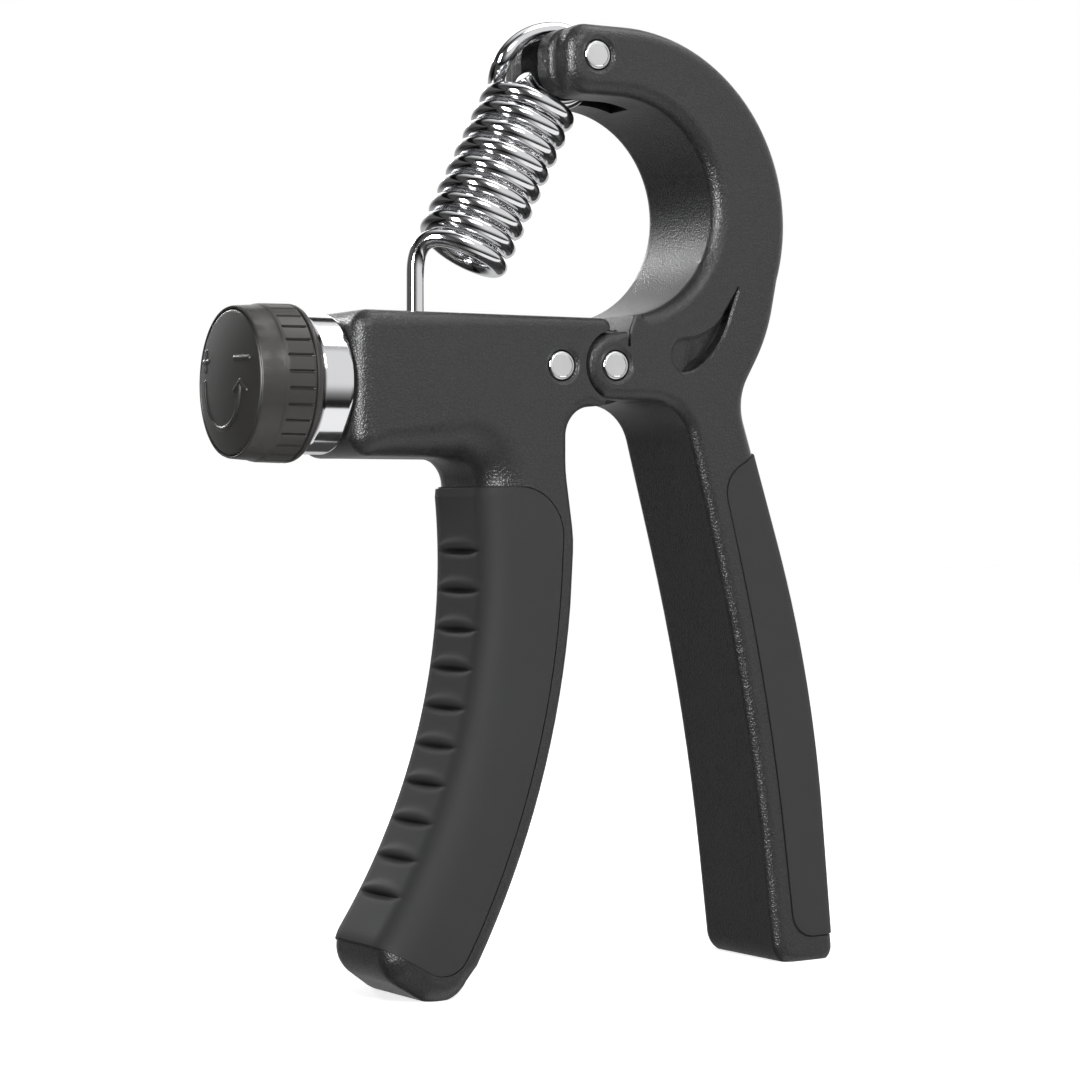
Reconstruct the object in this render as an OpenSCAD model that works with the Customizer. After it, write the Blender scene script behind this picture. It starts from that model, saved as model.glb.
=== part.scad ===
// Hand grip strengthener with an adjustable extension spring.
// Working frame: the main pivot is the origin, X runs from the knob to the rear handle,
// Y is the thickness and Z is up.  stand() then leans the whole tool onto its two tips.

/* [Stance] */
// Lean that brings both handle tips onto the table
lean = 1.6; // [1.2:0.1:2]
// Height of the main pivot above the table
pivot_z = 99.4; // [98.8:0.1:99.5]
// Distance from the middle of the footprint to the main pivot
pivot_x = 11.9; // [8:0.1:15]

/* [Body] */
// Thickness of both handles
body_w = 22.8; // [21:0.1:26]
// Rounding of the edges round the arm
arm_edge = 2.4; // [1.2:0.1:3]
// Rounding of the other edges
body_edge = 1.9; // [1:0.1:2.4]
// Rounding of the finger side of the front handle
finger_edge = 5.4; // [3:0.1:6]
// Thickness of the rubber over the handles
grip_skin = 1.8; // [1.2:0.1:2.4]
// Height that the rubber stands proud of the handle
grip_proud = 0.6; // [0.3:0.1:0.9]
// Seam between the rubber and the handle
grip_seam = 0.15; // [0.1:0.05:0.3]

/* [Barrel] */
// Distance from the main pivot to the open end of the barrel
barrel_reach = 46.8; // [45:0.1:50]
// Height of the flat top of the barrel above the main pivot
barrel_top = 7.6; // [7.2:0.1:8]
// Depth of the barrel from its top to its underside
barrel_h = 22.8; // [22:0.1:24]
// Radius of the bore that holds the slider
barrel_bore_r = 8; // [7.5:0.1:8.4]
// Half width of the slot along the top of the barrel
slot_half = 3.7; // [3.4:0.1:4.5]

/* [Pivot] */
// Radius of the three cross pins
pin_r = 2.4; // [2:0.1:2.6]
// Radius of the round ears of the rear handle
ear_r = 5.5; // [5.2:0.1:5.8]
// Thickness of each ear
ear_t = 4.5; // [3.5:0.1:5]
// Radius of the tongue between the ears
tongue_r = 6.2; // [5.9:0.1:6.3]
// Outer radius of the steel sleeve in the tongue
sleeve_r = 3.4; // [3.1:0.1:3.8]
// Distance from the main pivot back to the bearing pin
bearing_pin_back = 10.1; // [9.8:0.1:10.6]

/* [Arm] */
// Distance of the spring pin behind the main pivot
top_pin_back = 3.4; // [3:0.1:4]
// Height of the spring pin above the main pivot
top_pin_up = 49.8; // [49.4:0.1:50.2]
// Radius of the round opening inside the arm
arm_hole_r = 17.7; // [17.2:0.1:18]
// Half width of the slot for the spring loop
arm_slot_half = 2.7; // [2.2:0.1:3.2]

/* [Knob] */
// Largest radius of the knob
knob_r = 12.4; // [12:0.1:13]
// Length of the knob without its domed face
knob_len = 10.1; // [9:0.1:11]
// Length of the bright ring between the knob and the barrel
collar_len = 5.8; // [5:0.1:7]
// Step from the barrel's sides in to the bright ring
collar_step = 0.4; // [0.2:0.05:0.9]
// Number of grip flutes round the knob
flutes = 30; // [20:1:36]
// Rise of the domed face
dome_h = 1.2; // [0.6:0.1:2]

/* [Adjuster] */
// Radius of the lead screw
screw_r = 3; // [2.6:0.1:3.1]
// Length of the slider
slider_len = 8; // [7:0.1:8.6]
// Travel of the slider towards the knob
slider_travel = 7.5; // [5:0.1:7.6]
// Radius of the pin that holds the lower spring hook
hook_pin_r = 1.25; // [1:0.05:1.3]
// Height of the hook pin above the axis of the lead screw
hook_pin_up = 8.4; // [8.2:0.05:8.6]

/* [Spring] */
// Diameter of the spring wire
wire_d = 2.9; // [2.4:0.05:2.95]
// Mean radius of the coils
coil_r = 6.5; // [6.2:0.05:6.7]
// Distance between neighbouring coils
coil_pitch = 3.4; // [3.39:0.01:3.45]

/* [Hidden] */
coils = 9;                       // as many as reach from the arm to the barrel
$fn = 64;

// clearances
run_gap = 0.05;      // shaft in a bore that turns or slides
seat_gap = 0.02;     // pin that sits fast in its hole
face_gap = 0.25;     // two moving faces side by side
soft_gap = 0.3;      // spring wire beside what it hooks on

half_w = body_w / 2;
tongue_half = half_w - ear_t - face_gap;
pin_sink = 0.2;      // pin ends sit this far below the side faces
pin_rim = 0.35;      // chamfer of the pin ends and of their holes
axis_z = barrel_top - barrel_h / 2;
mouth_x = -barrel_reach;
big = 300;

// ---------- outlines ----------
function unit(v) = v / norm(v);
function xz(p) = [p[0], p[1]];

// Points of an arc; every outline point is [x, z, rounding of the edge there]
function arc(c, r, from, to, edge, steps) =
    [for (i = [0:steps]) let (a = from + (to - from) * i / steps)
        [c[0] + r * cos(a), c[1] + r * sin(a), edge]];

// Corner q, written [x, z, edge rounding, corner radius], between its neighbours p and s
function corner(p, q, s) =
    (len(q) < 4) ? [q] :
    let (u = unit(xz(p) - xz(q)), v = unit(xz(s) - xz(q)),
         half = acos(u * v) / 2,
         c = xz(q) + unit(u + v) * q[3] / sin(half),
         start = xz(q) + u * q[3] / tan(half) - c,
         side = sign(cross(xz(q) - xz(p), xz(s) - xz(q))),
         turn = side * (180 - 2 * half),
         steps = max(3, ceil(abs(turn) / 13)),
         a = atan2(start[1], start[0]))
    arc(c, q[3], a, a + turn, q[2], steps);

function rounded(points) =
    let (n = len(points))
    [for (i = [0:n - 1]) each corner(points[(i + n - 1) % n], points[i], points[(i + 1) % n])];

// Outward direction at point i of an outline that runs anticlockwise
function outward(points, i) =
    let (n = len(points), d = xz(points[(i + 1) % n]) - xz(points[(i + n - 1) % n]))
    unit([d[1], -d[0]]);

function grown(points, by) =
    [for (i = [0:len(points) - 1]) let (o = outward(points, i) * by)
        [points[i][0] + o[0], points[i][1] + o[1], points[i][2]]];

// Triangles that fill a flat outline running anticlockwise, cut off one free corner at a time
function turn(a, b, c) = cross(b - a, c - b);
function free_corner(p, left, a, b, c) = turn(p[a], p[b], p[c]) > 0 && len([for (k = left)
    if (k != a && k != b && k != c && turn(p[a], p[b], p[k]) >= 0 && turn(p[b], p[c], p[k]) >= 0
        && turn(p[c], p[a], p[k]) >= 0) k]) == 0;
function filled(p, left, i, done) = len(left) == 3 ? concat(done, [left]) :
    let (n = len(left), a = left[(i + n - 1) % n], b = left[i % n], c = left[(i + 1) % n],
         cut = free_corner(p, left, a, b, c))
    filled(p, cut ? [for (k = left) if (k != b) k] : left, i + 1, cut ? concat(done, [[a, b, c]]) : done);

// Slab across the thickness whose two rims are rounded by each point's own radius
module slab(points, half) {
    n = len(points);
    rim = [0, 22.5, 45, 67.5, 90];
    levels = concat([for (a = rim) [-1, a]], [for (i = [4:-1:0]) [1, rim[i]]]);
    rings = [for (l = levels) each
        [for (i = [0:n - 1])
            let (e = points[i][2], o = outward(points, i) * e * (1 - sin(l[1])))
            [points[i][0] - o[0], l[0] * (half - e * (1 - cos(l[1]))), points[i][1] - o[1]]]];
    last = len(levels) - 1;
    walls = [for (j = [0:last - 1]) each [for (i = [0:n - 1]) each
        let (k = (i + 1) % n, a = j * n + i, b = j * n + k, c = (j + 1) * n + k, d = (j + 1) * n + i)
        [[a, b, c], [a, c, d]]]];
    cap = filled([for (i = [0:n - 1]) [rings[i][0], rings[i][2]]], [for (i = [0:n - 1]) i], 0, []);
    near_cap = [for (t = cap) [t[2], t[1], t[0]]];
    far_cap = [for (t = cap) [last * n + t[0], last * n + t[1], last * n + t[2]]];
    polyhedron(points = rings, faces = concat(walls, near_cap, far_cap), convexity = 10);
}

// Straight-sided plate between two depths
module plate(points, from_y, to_y) {
    translate([0, to_y, 0]) rotate([90, 0, 0]) linear_extrude(to_y - from_y)
        polygon([for (p = points) xz(p)]);
}

module stand() { translate([pivot_x, 0, pivot_z]) rotate([0, lean, 0]) children(); }

module floor_cut() { translate([-big / 2, -big / 2, -big]) cube([big, big, big]); }

// Round bar through the thickness, centred on the point p
module cross_bar(p, r, length) {
    translate([p[0], length / 2, p[1]]) rotate([90, 0, 0]) cylinder(r = r, h = length);
}

// Round bar along the barrel from x, with its end radius given where it tapers
module axle_bar(x, r, length, r_end = 0) {
    translate([x, 0, axis_z]) rotate([0, 90, 0]) cylinder(r1 = r, r2 = r_end > 0 ? r_end : r, h = length);
}

module both_sides() { children(); mirror([0, 1, 0]) children(); }

// Pin hole through the whole thickness with a chamfered mouth on each side
module pin_hole(p, r) {
    cross_bar(p, r, body_w + 2);
    both_sides() translate([p[0], half_w + 0.01, p[1]]) rotate([90, 0, 0])
        cylinder(r1 = r + pin_rim, r2 = r, h = pin_sink + pin_rim);
}

module cross_pin(p, r, length) {
    cross_bar(p, r, length - 2 * pin_rim);
    both_sides() translate([p[0], length / 2, p[1]]) rotate([90, 0, 0])
        cylinder(r1 = r - pin_rim, r2 = r, h = pin_rim);
}

// ---------- front handle ----------
finger_apex = [-22.3, -31.5];    // outermost point of the curve on the finger side
finger_r = 105.1;
finger_c = [finger_apex[0] - finger_r, finger_apex[1]];
palm_apex = [-7.4, -26];         // outermost point of the curve that faces the other handle
palm_r = 144.6;
palm_c = [palm_apex[0] - palm_r, palm_apex[1]];
tip_edge = 3;

// Angle at which the circle of radius r about c reaches height z on its right-hand side
function at_height(c, r, z) = asin((z - c[1]) / r);
end_dir = unit([13.6, -7.8]);    // direction of the cut across the front tip
tip_low = [-29.6, -103.3];
tip_high = [-43, -94.6];

front_line = rounded(concat(
    [[mouth_x, barrel_top, body_edge, 2.6],
     [mouth_x, barrel_top - barrel_h, body_edge * 1.6, 3.4],
     [-22.3, barrel_top - barrel_h, finger_edge * 0.8, 4.2]],
    arc(finger_c, finger_r, at_height(finger_c, finger_r, -21.2),
        at_height(finger_c, finger_r, -89), finger_edge, 12),
    [[tip_high[0], tip_high[1], tip_edge, 3.6],
     [tip_low[0], tip_low[1], body_edge * 1.2, 6]],
    arc(palm_c, palm_r, at_height(palm_c, palm_r, -95.2), at_height(palm_c, palm_r, -38.6), body_edge, 9),
    [[-7.35, -28, body_edge, 22],
     [-8.9, -17, body_edge, 24],
     [-8.9, -7.2, body_edge, 4.9],
     [-2, -6.5, 0.6, 0.9],
     [-0.5, barrel_top, body_edge * 0.8, 1.7]]));

grip_top = -19.6;
grip_rim = 2.6;                  // bare edge beside the front rubber
grip_tail = 4.2;                 // bare tip below the front rubber
tail_dir = [end_dir[1], -end_dir[0]];
tail_low = tip_low - tail_dir * grip_tail + end_dir * (-grip_rim);
tail_high = tip_high - tail_dir * grip_tail - end_dir * 8;

function front_patch(in) = rounded(concat(
    [[-36, grip_top - in, 0]],
    [[tail_high[0], tail_high[1], 0]],
    [[tail_low[0] - in, tail_low[1] + in, 0, 4.6]],
    let (r = palm_r - grip_rim - in)
    arc(palm_c, r, at_height(palm_c, r, -90.5), at_height(palm_c, r, -31), 0, 9),
    [[-9.4 - in, grip_top - in, 0, 8 - in]]));

module finger_strip(depth) {
    translate([finger_c[0], 0, finger_c[1]]) rotate([90, 0, 0])
        cylinder(r = finger_r + depth, h = big, center = true, $fn = 180);
}

module front_core(side_gap) {
    core_half = half_w - grip_skin + side_gap;
    difference() {
        plate(front_patch(-side_gap), -core_half, core_half);
        finger_strip(grip_skin - side_gap);
    }
}

module front_pocket() {
    both_sides() plate(front_patch(0), half_w - grip_skin, half_w + 2);
    intersection() {
        plate(front_patch(0), -half_w - 1, half_w + 1);
        finger_strip(grip_skin);
    }
}

slider_rest = -27.75;                     // slider centre at the easiest setting
bearing_face = slider_rest + slider_len / 2 + 2.5;
bearing_len = 6;
tail_half = 3.5;                          // half width of the tail of the screw bearing
tail_top = axis_z + 7;
tail_floor = axis_z - 1.2;
tail_end = -6.6;
bearing_pin = [-bearing_pin_back, axis_z + 3.5];
slot_back = slider_rest + slider_len / 2 + 1.2;
slot_front = slider_rest - slider_travel - slider_len / 2 - 1;

module front_handle() {
    color([0.22, 0.22, 0.23]) difference() {
        stand() difference() {
            union() {
                slab(front_line, half_w);
                cross_bar([0, 0], tongue_r, 2 * tongue_half);
            }
            both_sides() translate([0, tongue_half, 0]) rotate([-90, 0, 0])
                cylinder(r = ear_r + face_gap + 0.1, h = half_w);
            axle_bar(mouth_x - 1, barrel_bore_r, bearing_face + bearing_len - mouth_x + 1);
            translate([bearing_face, -tail_half - seat_gap, tail_floor - seat_gap])
                cube([tail_end - bearing_face, 2 * (tail_half + seat_gap),
                      tail_top - tail_floor + 2 * seat_gap]);
            translate([slot_front, -slot_half, axis_z])
                cube([slot_back - slot_front, 2 * slot_half, barrel_h]);
            cross_bar([0, 0], sleeve_r + seat_gap, body_w);
            pin_hole(bearing_pin, pin_r + seat_gap);
            front_pocket();
        }
        floor_cut();
    }
}

groove_pitch = 6.35;             // distance between the finger grooves
grooves = 10;
groove_deep = 0.8;
groove_half = 0.9;

// Thin double cone whose rim cuts one lens-shaped groove across the finger side
module finger_groove(i) {
    a = 0.3 - i * groove_pitch / finger_r * 180 / PI + 2;
    reach = 14;
    translate([finger_c[0], 0, finger_c[1]]) rotate([0, -a, 0])
        translate([finger_r - grip_proud + groove_deep - reach, 0, 0])
        both_halves(reach);
}

module both_halves(reach) {
    cylinder(r1 = reach, r2 = reach - 1.6, h = groove_half);
    mirror([0, 0, 1]) cylinder(r1 = reach, r2 = reach - 1.6, h = groove_half);
}

module front_grip() {
    color([0.27, 0.27, 0.28]) stand() difference() {
        intersection() {
            slab(grown(front_line, grip_proud), half_w + grip_proud / 3);
            plate(front_patch(grip_seam), -half_w - 2, half_w + 2);
        }
        front_core(grip_seam);
        for (i = [0:grooves - 1]) finger_groove(i);
    }
}

// ---------- rear handle ----------
arm_c = [1.6, 25.9];             // centre of the round opening
arm_back_c = [2.5, 24];          // centre of the outer curve of the arm
arm_back_r = 30.9;
arm_nose = -8.8;
cheek_out = 1;                   // how far the inner cheeks of the nose stand out
cheek_half = 6.8;
waist = [24.2, -5];
knee_in = [25.9, -55];           // bend of the inner edge
knee_out = [38.1, -50.5];        // bend of the outer edge, under the rubber
foot_in = [31.6, -99.1];
foot_out = [43.1, -99.1];
top_pin_at = [-top_pin_back, top_pin_up];

rear_line = rounded(concat(
    arc([0, 0], ear_r, 90, 270, body_edge, 12),
    [[13.3, -ear_r, body_edge, 8],
     [knee_in[0], knee_in[1], body_edge, 150],
     [foot_in[0], foot_in[1], body_edge, 4.2],
     [foot_out[0], foot_out[1], body_edge, 2.8],
     [knee_out[0], knee_out[1], arm_edge, 60],
     [waist[0], waist[1], arm_edge, 9],
     [30.2, 5.6, arm_edge, 30]],
    arc(arm_back_c, arm_back_r, -17, 90, arm_edge, 20),
    [[arm_nose, arm_back_c[1] + arm_back_r, arm_edge, 4],
     [arm_nose, arm_c[1] + arm_hole_r, arm_edge, 4.2]],
    arc(arm_c, arm_hole_r, 88, -78, arm_edge, 26),
    arc(arm_c, arm_hole_r, -81, -84, 0.6, 1),
    [[2.5, ear_r, 0.6]]));

// Outline of the inner cheeks, which stand a little proud of the nose
function cheek_line() =
    let (x = arm_nose - cheek_out, low = arm_c[1] + arm_hole_r + 0.3, high = arm_back_c[1] + arm_back_r - 0.3)
    rounded([[x, low, 0, 4], [0, low, 0], [0, high, 0], [x, high, 0, 4]]);

// Leaf-shaped dish on each side of the arm, with a deeper back half
leaf_line = [[23.8, 13.8], [22.2, 9.4], [19, 3.7], [15.3, -0.3], [13.2, -0.6], [11.4, 0.6], [10.9, 2.7],
             [12.5, 4.6], [15.5, 5.8], [19.2, 6.8], [21.7, 9.5]];
leaf_back = [[23.8, 13.8], [22.2, 9.4], [19, 3.7], [15.3, -0.3], [13.2, -0.4], [15.4, 1.5], [17.4, 4],
             [19.4, 6.8], [21.7, 9.5]];

module dish(outline, depth) {
    both_sides() translate([0, -half_w + depth, 0]) rotate([90, 0, 0]) linear_extrude(depth + 1)
        polygon(outline);
}

rear_rim = 3.2;                  // bare edge beside the rear rubber
function rear_patch(in) = rounded([
    [knee_out[0] + 12, 1, 0],
    [knee_in[0] + rear_rim + in - 9.3, -17.9 - in, 0, 5],
    [knee_in[0] + rear_rim + in, knee_in[1], 0, 150],
    [foot_in[0] + rear_rim + in - 0.3, foot_in[1] + 4.5 + in, 0, 4],
    [foot_out[0] + 8, foot_in[1] + 4.9 + in, 0]]);

// Region inside the handle that lies deeper than the rubber
function rear_inner(depth) = rounded([
    [knee_in[0] - 16, waist[1] + 4, 0],
    [knee_in[0] - 4, foot_in[1] - 3, 0],
    [foot_out[0] - depth, foot_in[1] - 3, 0],
    [knee_out[0] - depth, knee_out[1], 0, 60],
    [waist[0] - depth * 1.05, waist[1], 0],
    [waist[0] - depth * 1.05, waist[1] + 4, 0]]);

module rear_pocket() {
    both_sides() plate(rear_patch(0), half_w - grip_skin, half_w + 2);
    difference() {
        plate(rear_patch(0), -half_w - 1, half_w + 1);
        plate(rear_inner(grip_skin), -half_w - 2, half_w + 2);
    }
}

module rear_handle() {
    slot_end = top_pin_at[0] + 10.7;
    color([0.22, 0.22, 0.23]) difference() {
        stand() difference() {
            union() {
                slab(rear_line, half_w);
                plate(cheek_line(), -cheek_half, cheek_half);
            }
            dish(leaf_line, 0.5);
            dish(leaf_back, 1.1);
            translate([2.05, -big / 2, 3.1]) cube([0.5, big, 3]);
            cross_bar([0, 0], tongue_r + face_gap + 0.15, 2 * (tongue_half + face_gap));
            translate([-big, -tongue_half - face_gap, -ear_r - 2])
                cube([big, 2 * (tongue_half + face_gap), 2 * ear_r + 3]);
            translate([slot_end - big, -arm_slot_half, arm_c[1] + 10])
                cube([big, 2 * arm_slot_half, big / 2]);
            pin_hole([0, 0], pin_r + seat_gap);
            pin_hole(top_pin_at, pin_r + run_gap);
            rear_pocket();
        }
        floor_cut();
    }
}

module rear_grip() {
    core_half = half_w - grip_skin + grip_seam;
    color([0.27, 0.27, 0.28]) stand() difference() {
        intersection() {
            slab(grown(rear_line, grip_proud), half_w + grip_proud / 3);
            plate(rear_patch(grip_seam), -half_w - 2, half_w + 2);
        }
        plate(rear_inner(grip_skin - grip_seam), -core_half, core_half);
    }
}

// ---------- pins ----------
module chrome() { color([0.8, 0.8, 0.82]) children(); }

module pivot_pin() { chrome() stand() cross_pin([0, 0], pin_r, body_w - 2 * pin_sink); }

module top_pin() { chrome() stand() cross_pin(top_pin_at, pin_r, body_w - 2 * pin_sink); }

module bearing_pin() { chrome() stand() cross_pin(bearing_pin, pin_r, body_w - 2 * pin_sink); }

module pivot_sleeve() {
    color([0.6, 0.61, 0.63]) stand() difference() {
        cross_bar([0, 0], sleeve_r, 2 * tongue_half);
        cross_bar([0, 0], pin_r + run_gap, body_w);
    }
}

// ---------- knob end ----------
collar_r = min(body_w, barrel_h) / 2 - collar_step;
collar_face = mouth_x - collar_len;
knob_back = collar_face - face_gap;
knob_front = knob_back - knob_len;
bush_r = 6;
collar_spigot = 3;
boss_r = 4.2;
washer_t = 0.8;
clip_t = 0.8;
cap_r = 11.3;
cap_t = 1.6;
neck_r = screw_r - 0.5;          // turned-down end of the lead screw inside the knob

module barrel_collar() {
    chrome() stand() difference() {
        union() {
            axle_bar(collar_face + 0.3, collar_r, collar_len - 0.3);
            axle_bar(collar_face, collar_r - 0.3, 0.4, collar_r + 0.1);
            axle_bar(mouth_x - 1, barrel_bore_r - seat_gap, collar_spigot + 1);
        }
        axle_bar(collar_face - 1, bush_r, collar_len + collar_spigot + 2);
    }
}

module mouth_bush() {
    color([0.85, 0.85, 0.8]) stand() difference() {
        axle_bar(collar_face, bush_r - seat_gap, collar_len + collar_spigot);
        axle_bar(collar_face - 1, screw_r + run_gap, collar_len + collar_spigot + 2);
    }
}

module thrust_washer() {
    color([0.7, 0.6, 0.35]) stand() difference() {
        axle_bar(collar_face - face_gap / 2 - washer_t, boss_r + 1, washer_t);
        axle_bar(collar_face - 3, screw_r + run_gap, 6);
    }
}

clip_at = mouth_x + collar_spigot + face_gap / 2;
module retaining_clip() {
    color([0.5, 0.5, 0.52]) stand() difference() {
        axle_bar(clip_at, screw_r + 1.8, clip_t);
        axle_bar(clip_at - 1, screw_r - 0.4 + seat_gap, clip_t + 2);
        translate([clip_at - 1, -screw_r * 0.6, axis_z - 2 * screw_r])
            cube([clip_t + 2, screw_r * 1.2, 2 * screw_r]);
    }
}

screw_nose = 3.5;                // length of the screw held in its bearing
module lead_screw() {
    back = bearing_face + screw_nose;
    front = collar_face - face_gap / 2 - washer_t - seat_gap;
    color([0.62, 0.62, 0.64]) stand() difference() {
        union() {
            axle_bar(front, screw_r, bearing_face - 0.2 - front);
            axle_bar(bearing_face - 2, neck_r, back - bearing_face + 2);
            axle_bar(knob_front + cap_t + 2.2, neck_r, front - knob_front - cap_t);
        }
        difference() {
            axle_bar(clip_at - seat_gap, screw_r + 1, clip_t + 2 * seat_gap);
            axle_bar(clip_at - 1, screw_r - 0.4, clip_t + 2);
        }
        axle_bar(knob_front, 1.27, 9);
    }
}

flute_w = 0.55;
flute_deep = 0.45;
flute_from = 3.7;                // smooth band at the front of the knob
flange_t = 1.3;

// Half profile of the knob as [distance from the front, radius]
knob_profile = [
    [0, cap_r + 0.1], [0, knob_r - 0.95], [0.35, knob_r - 0.62], [flute_from, knob_r - 0.35],
    [flute_from + 0.5, knob_r - 0.1], [knob_len - flange_t - 0.2, knob_r],
    [knob_len - flange_t, knob_r - 0.35], [knob_len - flange_t + 0.25, knob_r - 0.05],
    [knob_len - 0.4, knob_r - 0.25], [knob_len, knob_r - 0.6],
    [knob_len, knob_r - 2.2], [cap_t + 3, knob_r - 2.4], [cap_t + 3, boss_r],
    [knob_len - washer_t, boss_r], [knob_len - washer_t, neck_r + seat_gap],
    [cap_t + 2.2, neck_r + seat_gap], [cap_t + 2.2, 1.6], [cap_t, 1.6], [cap_t, cap_r + 0.1]];

module knob_shell() {
    color([0.26, 0.25, 0.24]) stand() difference() {
        translate([knob_front, 0, axis_z]) rotate([0, 90, 0]) rotate_extrude($fn = 120)
            polygon([for (p = knob_profile) [p[1], p[0]]]);
        for (i = [0:flutes - 1])
            translate([knob_front + flute_from + 0.2, 0, axis_z]) rotate([i * 360 / flutes, 0, 0])
                translate([0, -flute_w / 2, knob_r - flute_deep])
                cube([knob_len - flange_t - flute_from - 0.55, flute_w, 3]);
    }
}

screw_head_r = 2.6;
screw_head_t = 1.5;
dome_r = (cap_r * cap_r + dome_h * dome_h) / (2 * dome_h);
module knob_cap() {
    color([0.25, 0.24, 0.23]) stand() difference() {
        union() {
            axle_bar(knob_front, cap_r, cap_t - seat_gap);
            intersection() {
                axle_bar(knob_front - dome_h - 1, cap_r, dome_h + 1.2);
                translate([knob_front + dome_r - dome_h, 0, axis_z]) sphere(r = dome_r, $fn = 200);
            }
        }
        axle_bar(knob_front + cap_t - screw_head_t + 0.7, screw_head_r + 0.4, screw_head_t);
    }
}

module knob_screw() {
    head_back = knob_front + cap_t - seat_gap;
    color([0.6, 0.6, 0.62]) stand() {
        axle_bar(head_back - 0.7, screw_head_r, 0.7);
        axle_bar(head_back - 0.5, 1.25, 7.5);
    }
}

// ---------- adjuster inside the barrel ----------
hook_at = [slider_rest, axis_z + hook_pin_up];
lug_rim = 1.15;                  // height of the lugs above the hook pin
lug_half = slot_half - 0.3;
lug_top = hook_at[1] + hook_pin_r + lug_rim;
lug_gap = wire_d / 2 + 0.35;
nut_af = 10;                     // across the flats of the nut
nut_t = 4;

module slider_block() {
    color([0.75, 0.75, 0.72]) stand() difference() {
        union() {
            axle_bar(slider_rest - slider_len / 2, barrel_bore_r - run_gap, slider_len);
            translate([slider_rest - slider_len / 2, -lug_half, axis_z])
                cube([slider_len, 2 * lug_half, lug_top - axis_z]);
        }
        translate([slider_rest - slider_len, -lug_gap, axis_z + screw_r + 0.6])
            cube([2 * slider_len, 2 * lug_gap, barrel_h]);
        axle_bar(slider_rest - slider_len, screw_r + 0.3, 2 * slider_len);
        translate([slider_rest - slider_len / 2 - 1, 0, axis_z]) rotate([0, 90, 0])
            cylinder(r = (nut_af / 2 + seat_gap) / cos(30), h = nut_t + 1, $fn = 6);
        cross_bar(hook_at, hook_pin_r + seat_gap, body_w);
    }
}

module slider_nut() {
    color([0.78, 0.7, 0.42]) stand() difference() {
        translate([slider_rest - slider_len / 2, 0, axis_z]) rotate([0, 90, 0])
            cylinder(r = nut_af / 2 / cos(30), h = nut_t, $fn = 6);
        axle_bar(slider_rest - slider_len, screw_r + run_gap, 2 * slider_len);
        translate([slider_rest - slider_len, -lug_gap, axis_z + screw_r + 0.6])
            cube([2 * slider_len, 2 * lug_gap, barrel_h]);
    }
}

module hook_pin() { chrome() stand() cross_bar(hook_at, hook_pin_r, 2 * lug_half); }

module screw_bearing() {
    color([0.85, 0.85, 0.8]) stand() difference() {
        union() {
            axle_bar(bearing_face, barrel_bore_r - seat_gap, bearing_len);
            translate([bearing_face + 1, -tail_half, tail_floor])
                cube([tail_end - seat_gap - bearing_face - 1, 2 * tail_half, tail_top - tail_floor]);
        }
        axle_bar(bearing_face - 1, neck_r + run_gap, screw_nose + 1.4);
        cross_bar(bearing_pin, pin_r + seat_gap, body_w);
    }
}

// ---------- spring ----------
wire_r = wire_d / 2;
coil_top = [-9.96, 42.59];                // axis of the coils level with the first bulge
coil_lean = 27.1;                         // lean of the coil axis from upright
axis_dir = [-sin(coil_lean), -cos(coil_lean)];
left_dir = [-cos(coil_lean), sin(coil_lean)];
loop_r = 5.8;
loop_c = [top_pin_at[0] - 1.2, top_pin_at[1] - 0.5];
hook_r = hook_pin_r + soft_gap + wire_r;
leg_x = hook_at[0] - hook_r;
turn_rings = 8;

// Coil position at angle a, with a = 0 on the knob side, 90 at the back
function coil_at(a) =
    let (s = coil_pitch * (a - 207) / 360, c = coil_top + axis_dir * s + left_dir * coil_r * cos(a))
    [c[0], coil_r * sin(a), c[1]];
function coil_dir(a) = unit(coil_at(a + 1) - coil_at(a - 1));

// Smooth join from p, heading d, to q, heading e, with the given pull at its ends
function join(p, d, q, e, pull, steps) =
    [for (i = [1:steps - 1]) let (t = i / steps, u = 1 - t)
        p * pow(u, 3) + (p + d * pull) * 3 * u * u * t + (q - e * pull) * 3 * u * t * t + q * pow(t, 3)];

function ring_at(c, r, a) = [c[0] + r * cos(a), 0, c[1] + r * sin(a)];
function ring_dir(a) = [-sin(a), 0, cos(a)];

loop_from = 258;
loop_to = 455;
coil_from = 28;
coil_to = coils * 360 - 52;
cut_end = [-11.2, -0.6, 46.9];
cut_dir = unit([0.62, 0.1, -0.78]);
leg_top = [leg_x, 0, 14.6];

spring_line = concat(
    [cut_end],
    join(cut_end, cut_dir, ring_at(loop_c, loop_r, loop_from), ring_dir(loop_from), 2.6, 5),
    [for (i = [0:14]) ring_at(loop_c, loop_r, loop_from + (loop_to - loop_from) * i / 14)],
    join(ring_at(loop_c, loop_r, loop_to), ring_dir(loop_to), coil_at(coil_from), coil_dir(coil_from), 7, 10),
    [for (a = [coil_from:360 / turn_rings:coil_to]) coil_at(a)],
    [coil_at(coil_to)],
    join(coil_at(coil_to), coil_dir(coil_to), leg_top, [0, 0, -1], 4.6, 6),
    [leg_top],
    [for (i = [0:8]) ring_at(hook_at, hook_r, 180 + 180 * i / 8)],
    [[hook_at[0] + hook_r, 0, hook_at[1] + 0.9]]);

function next_side(side, along) = unit(side - along * (side * along));

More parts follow.
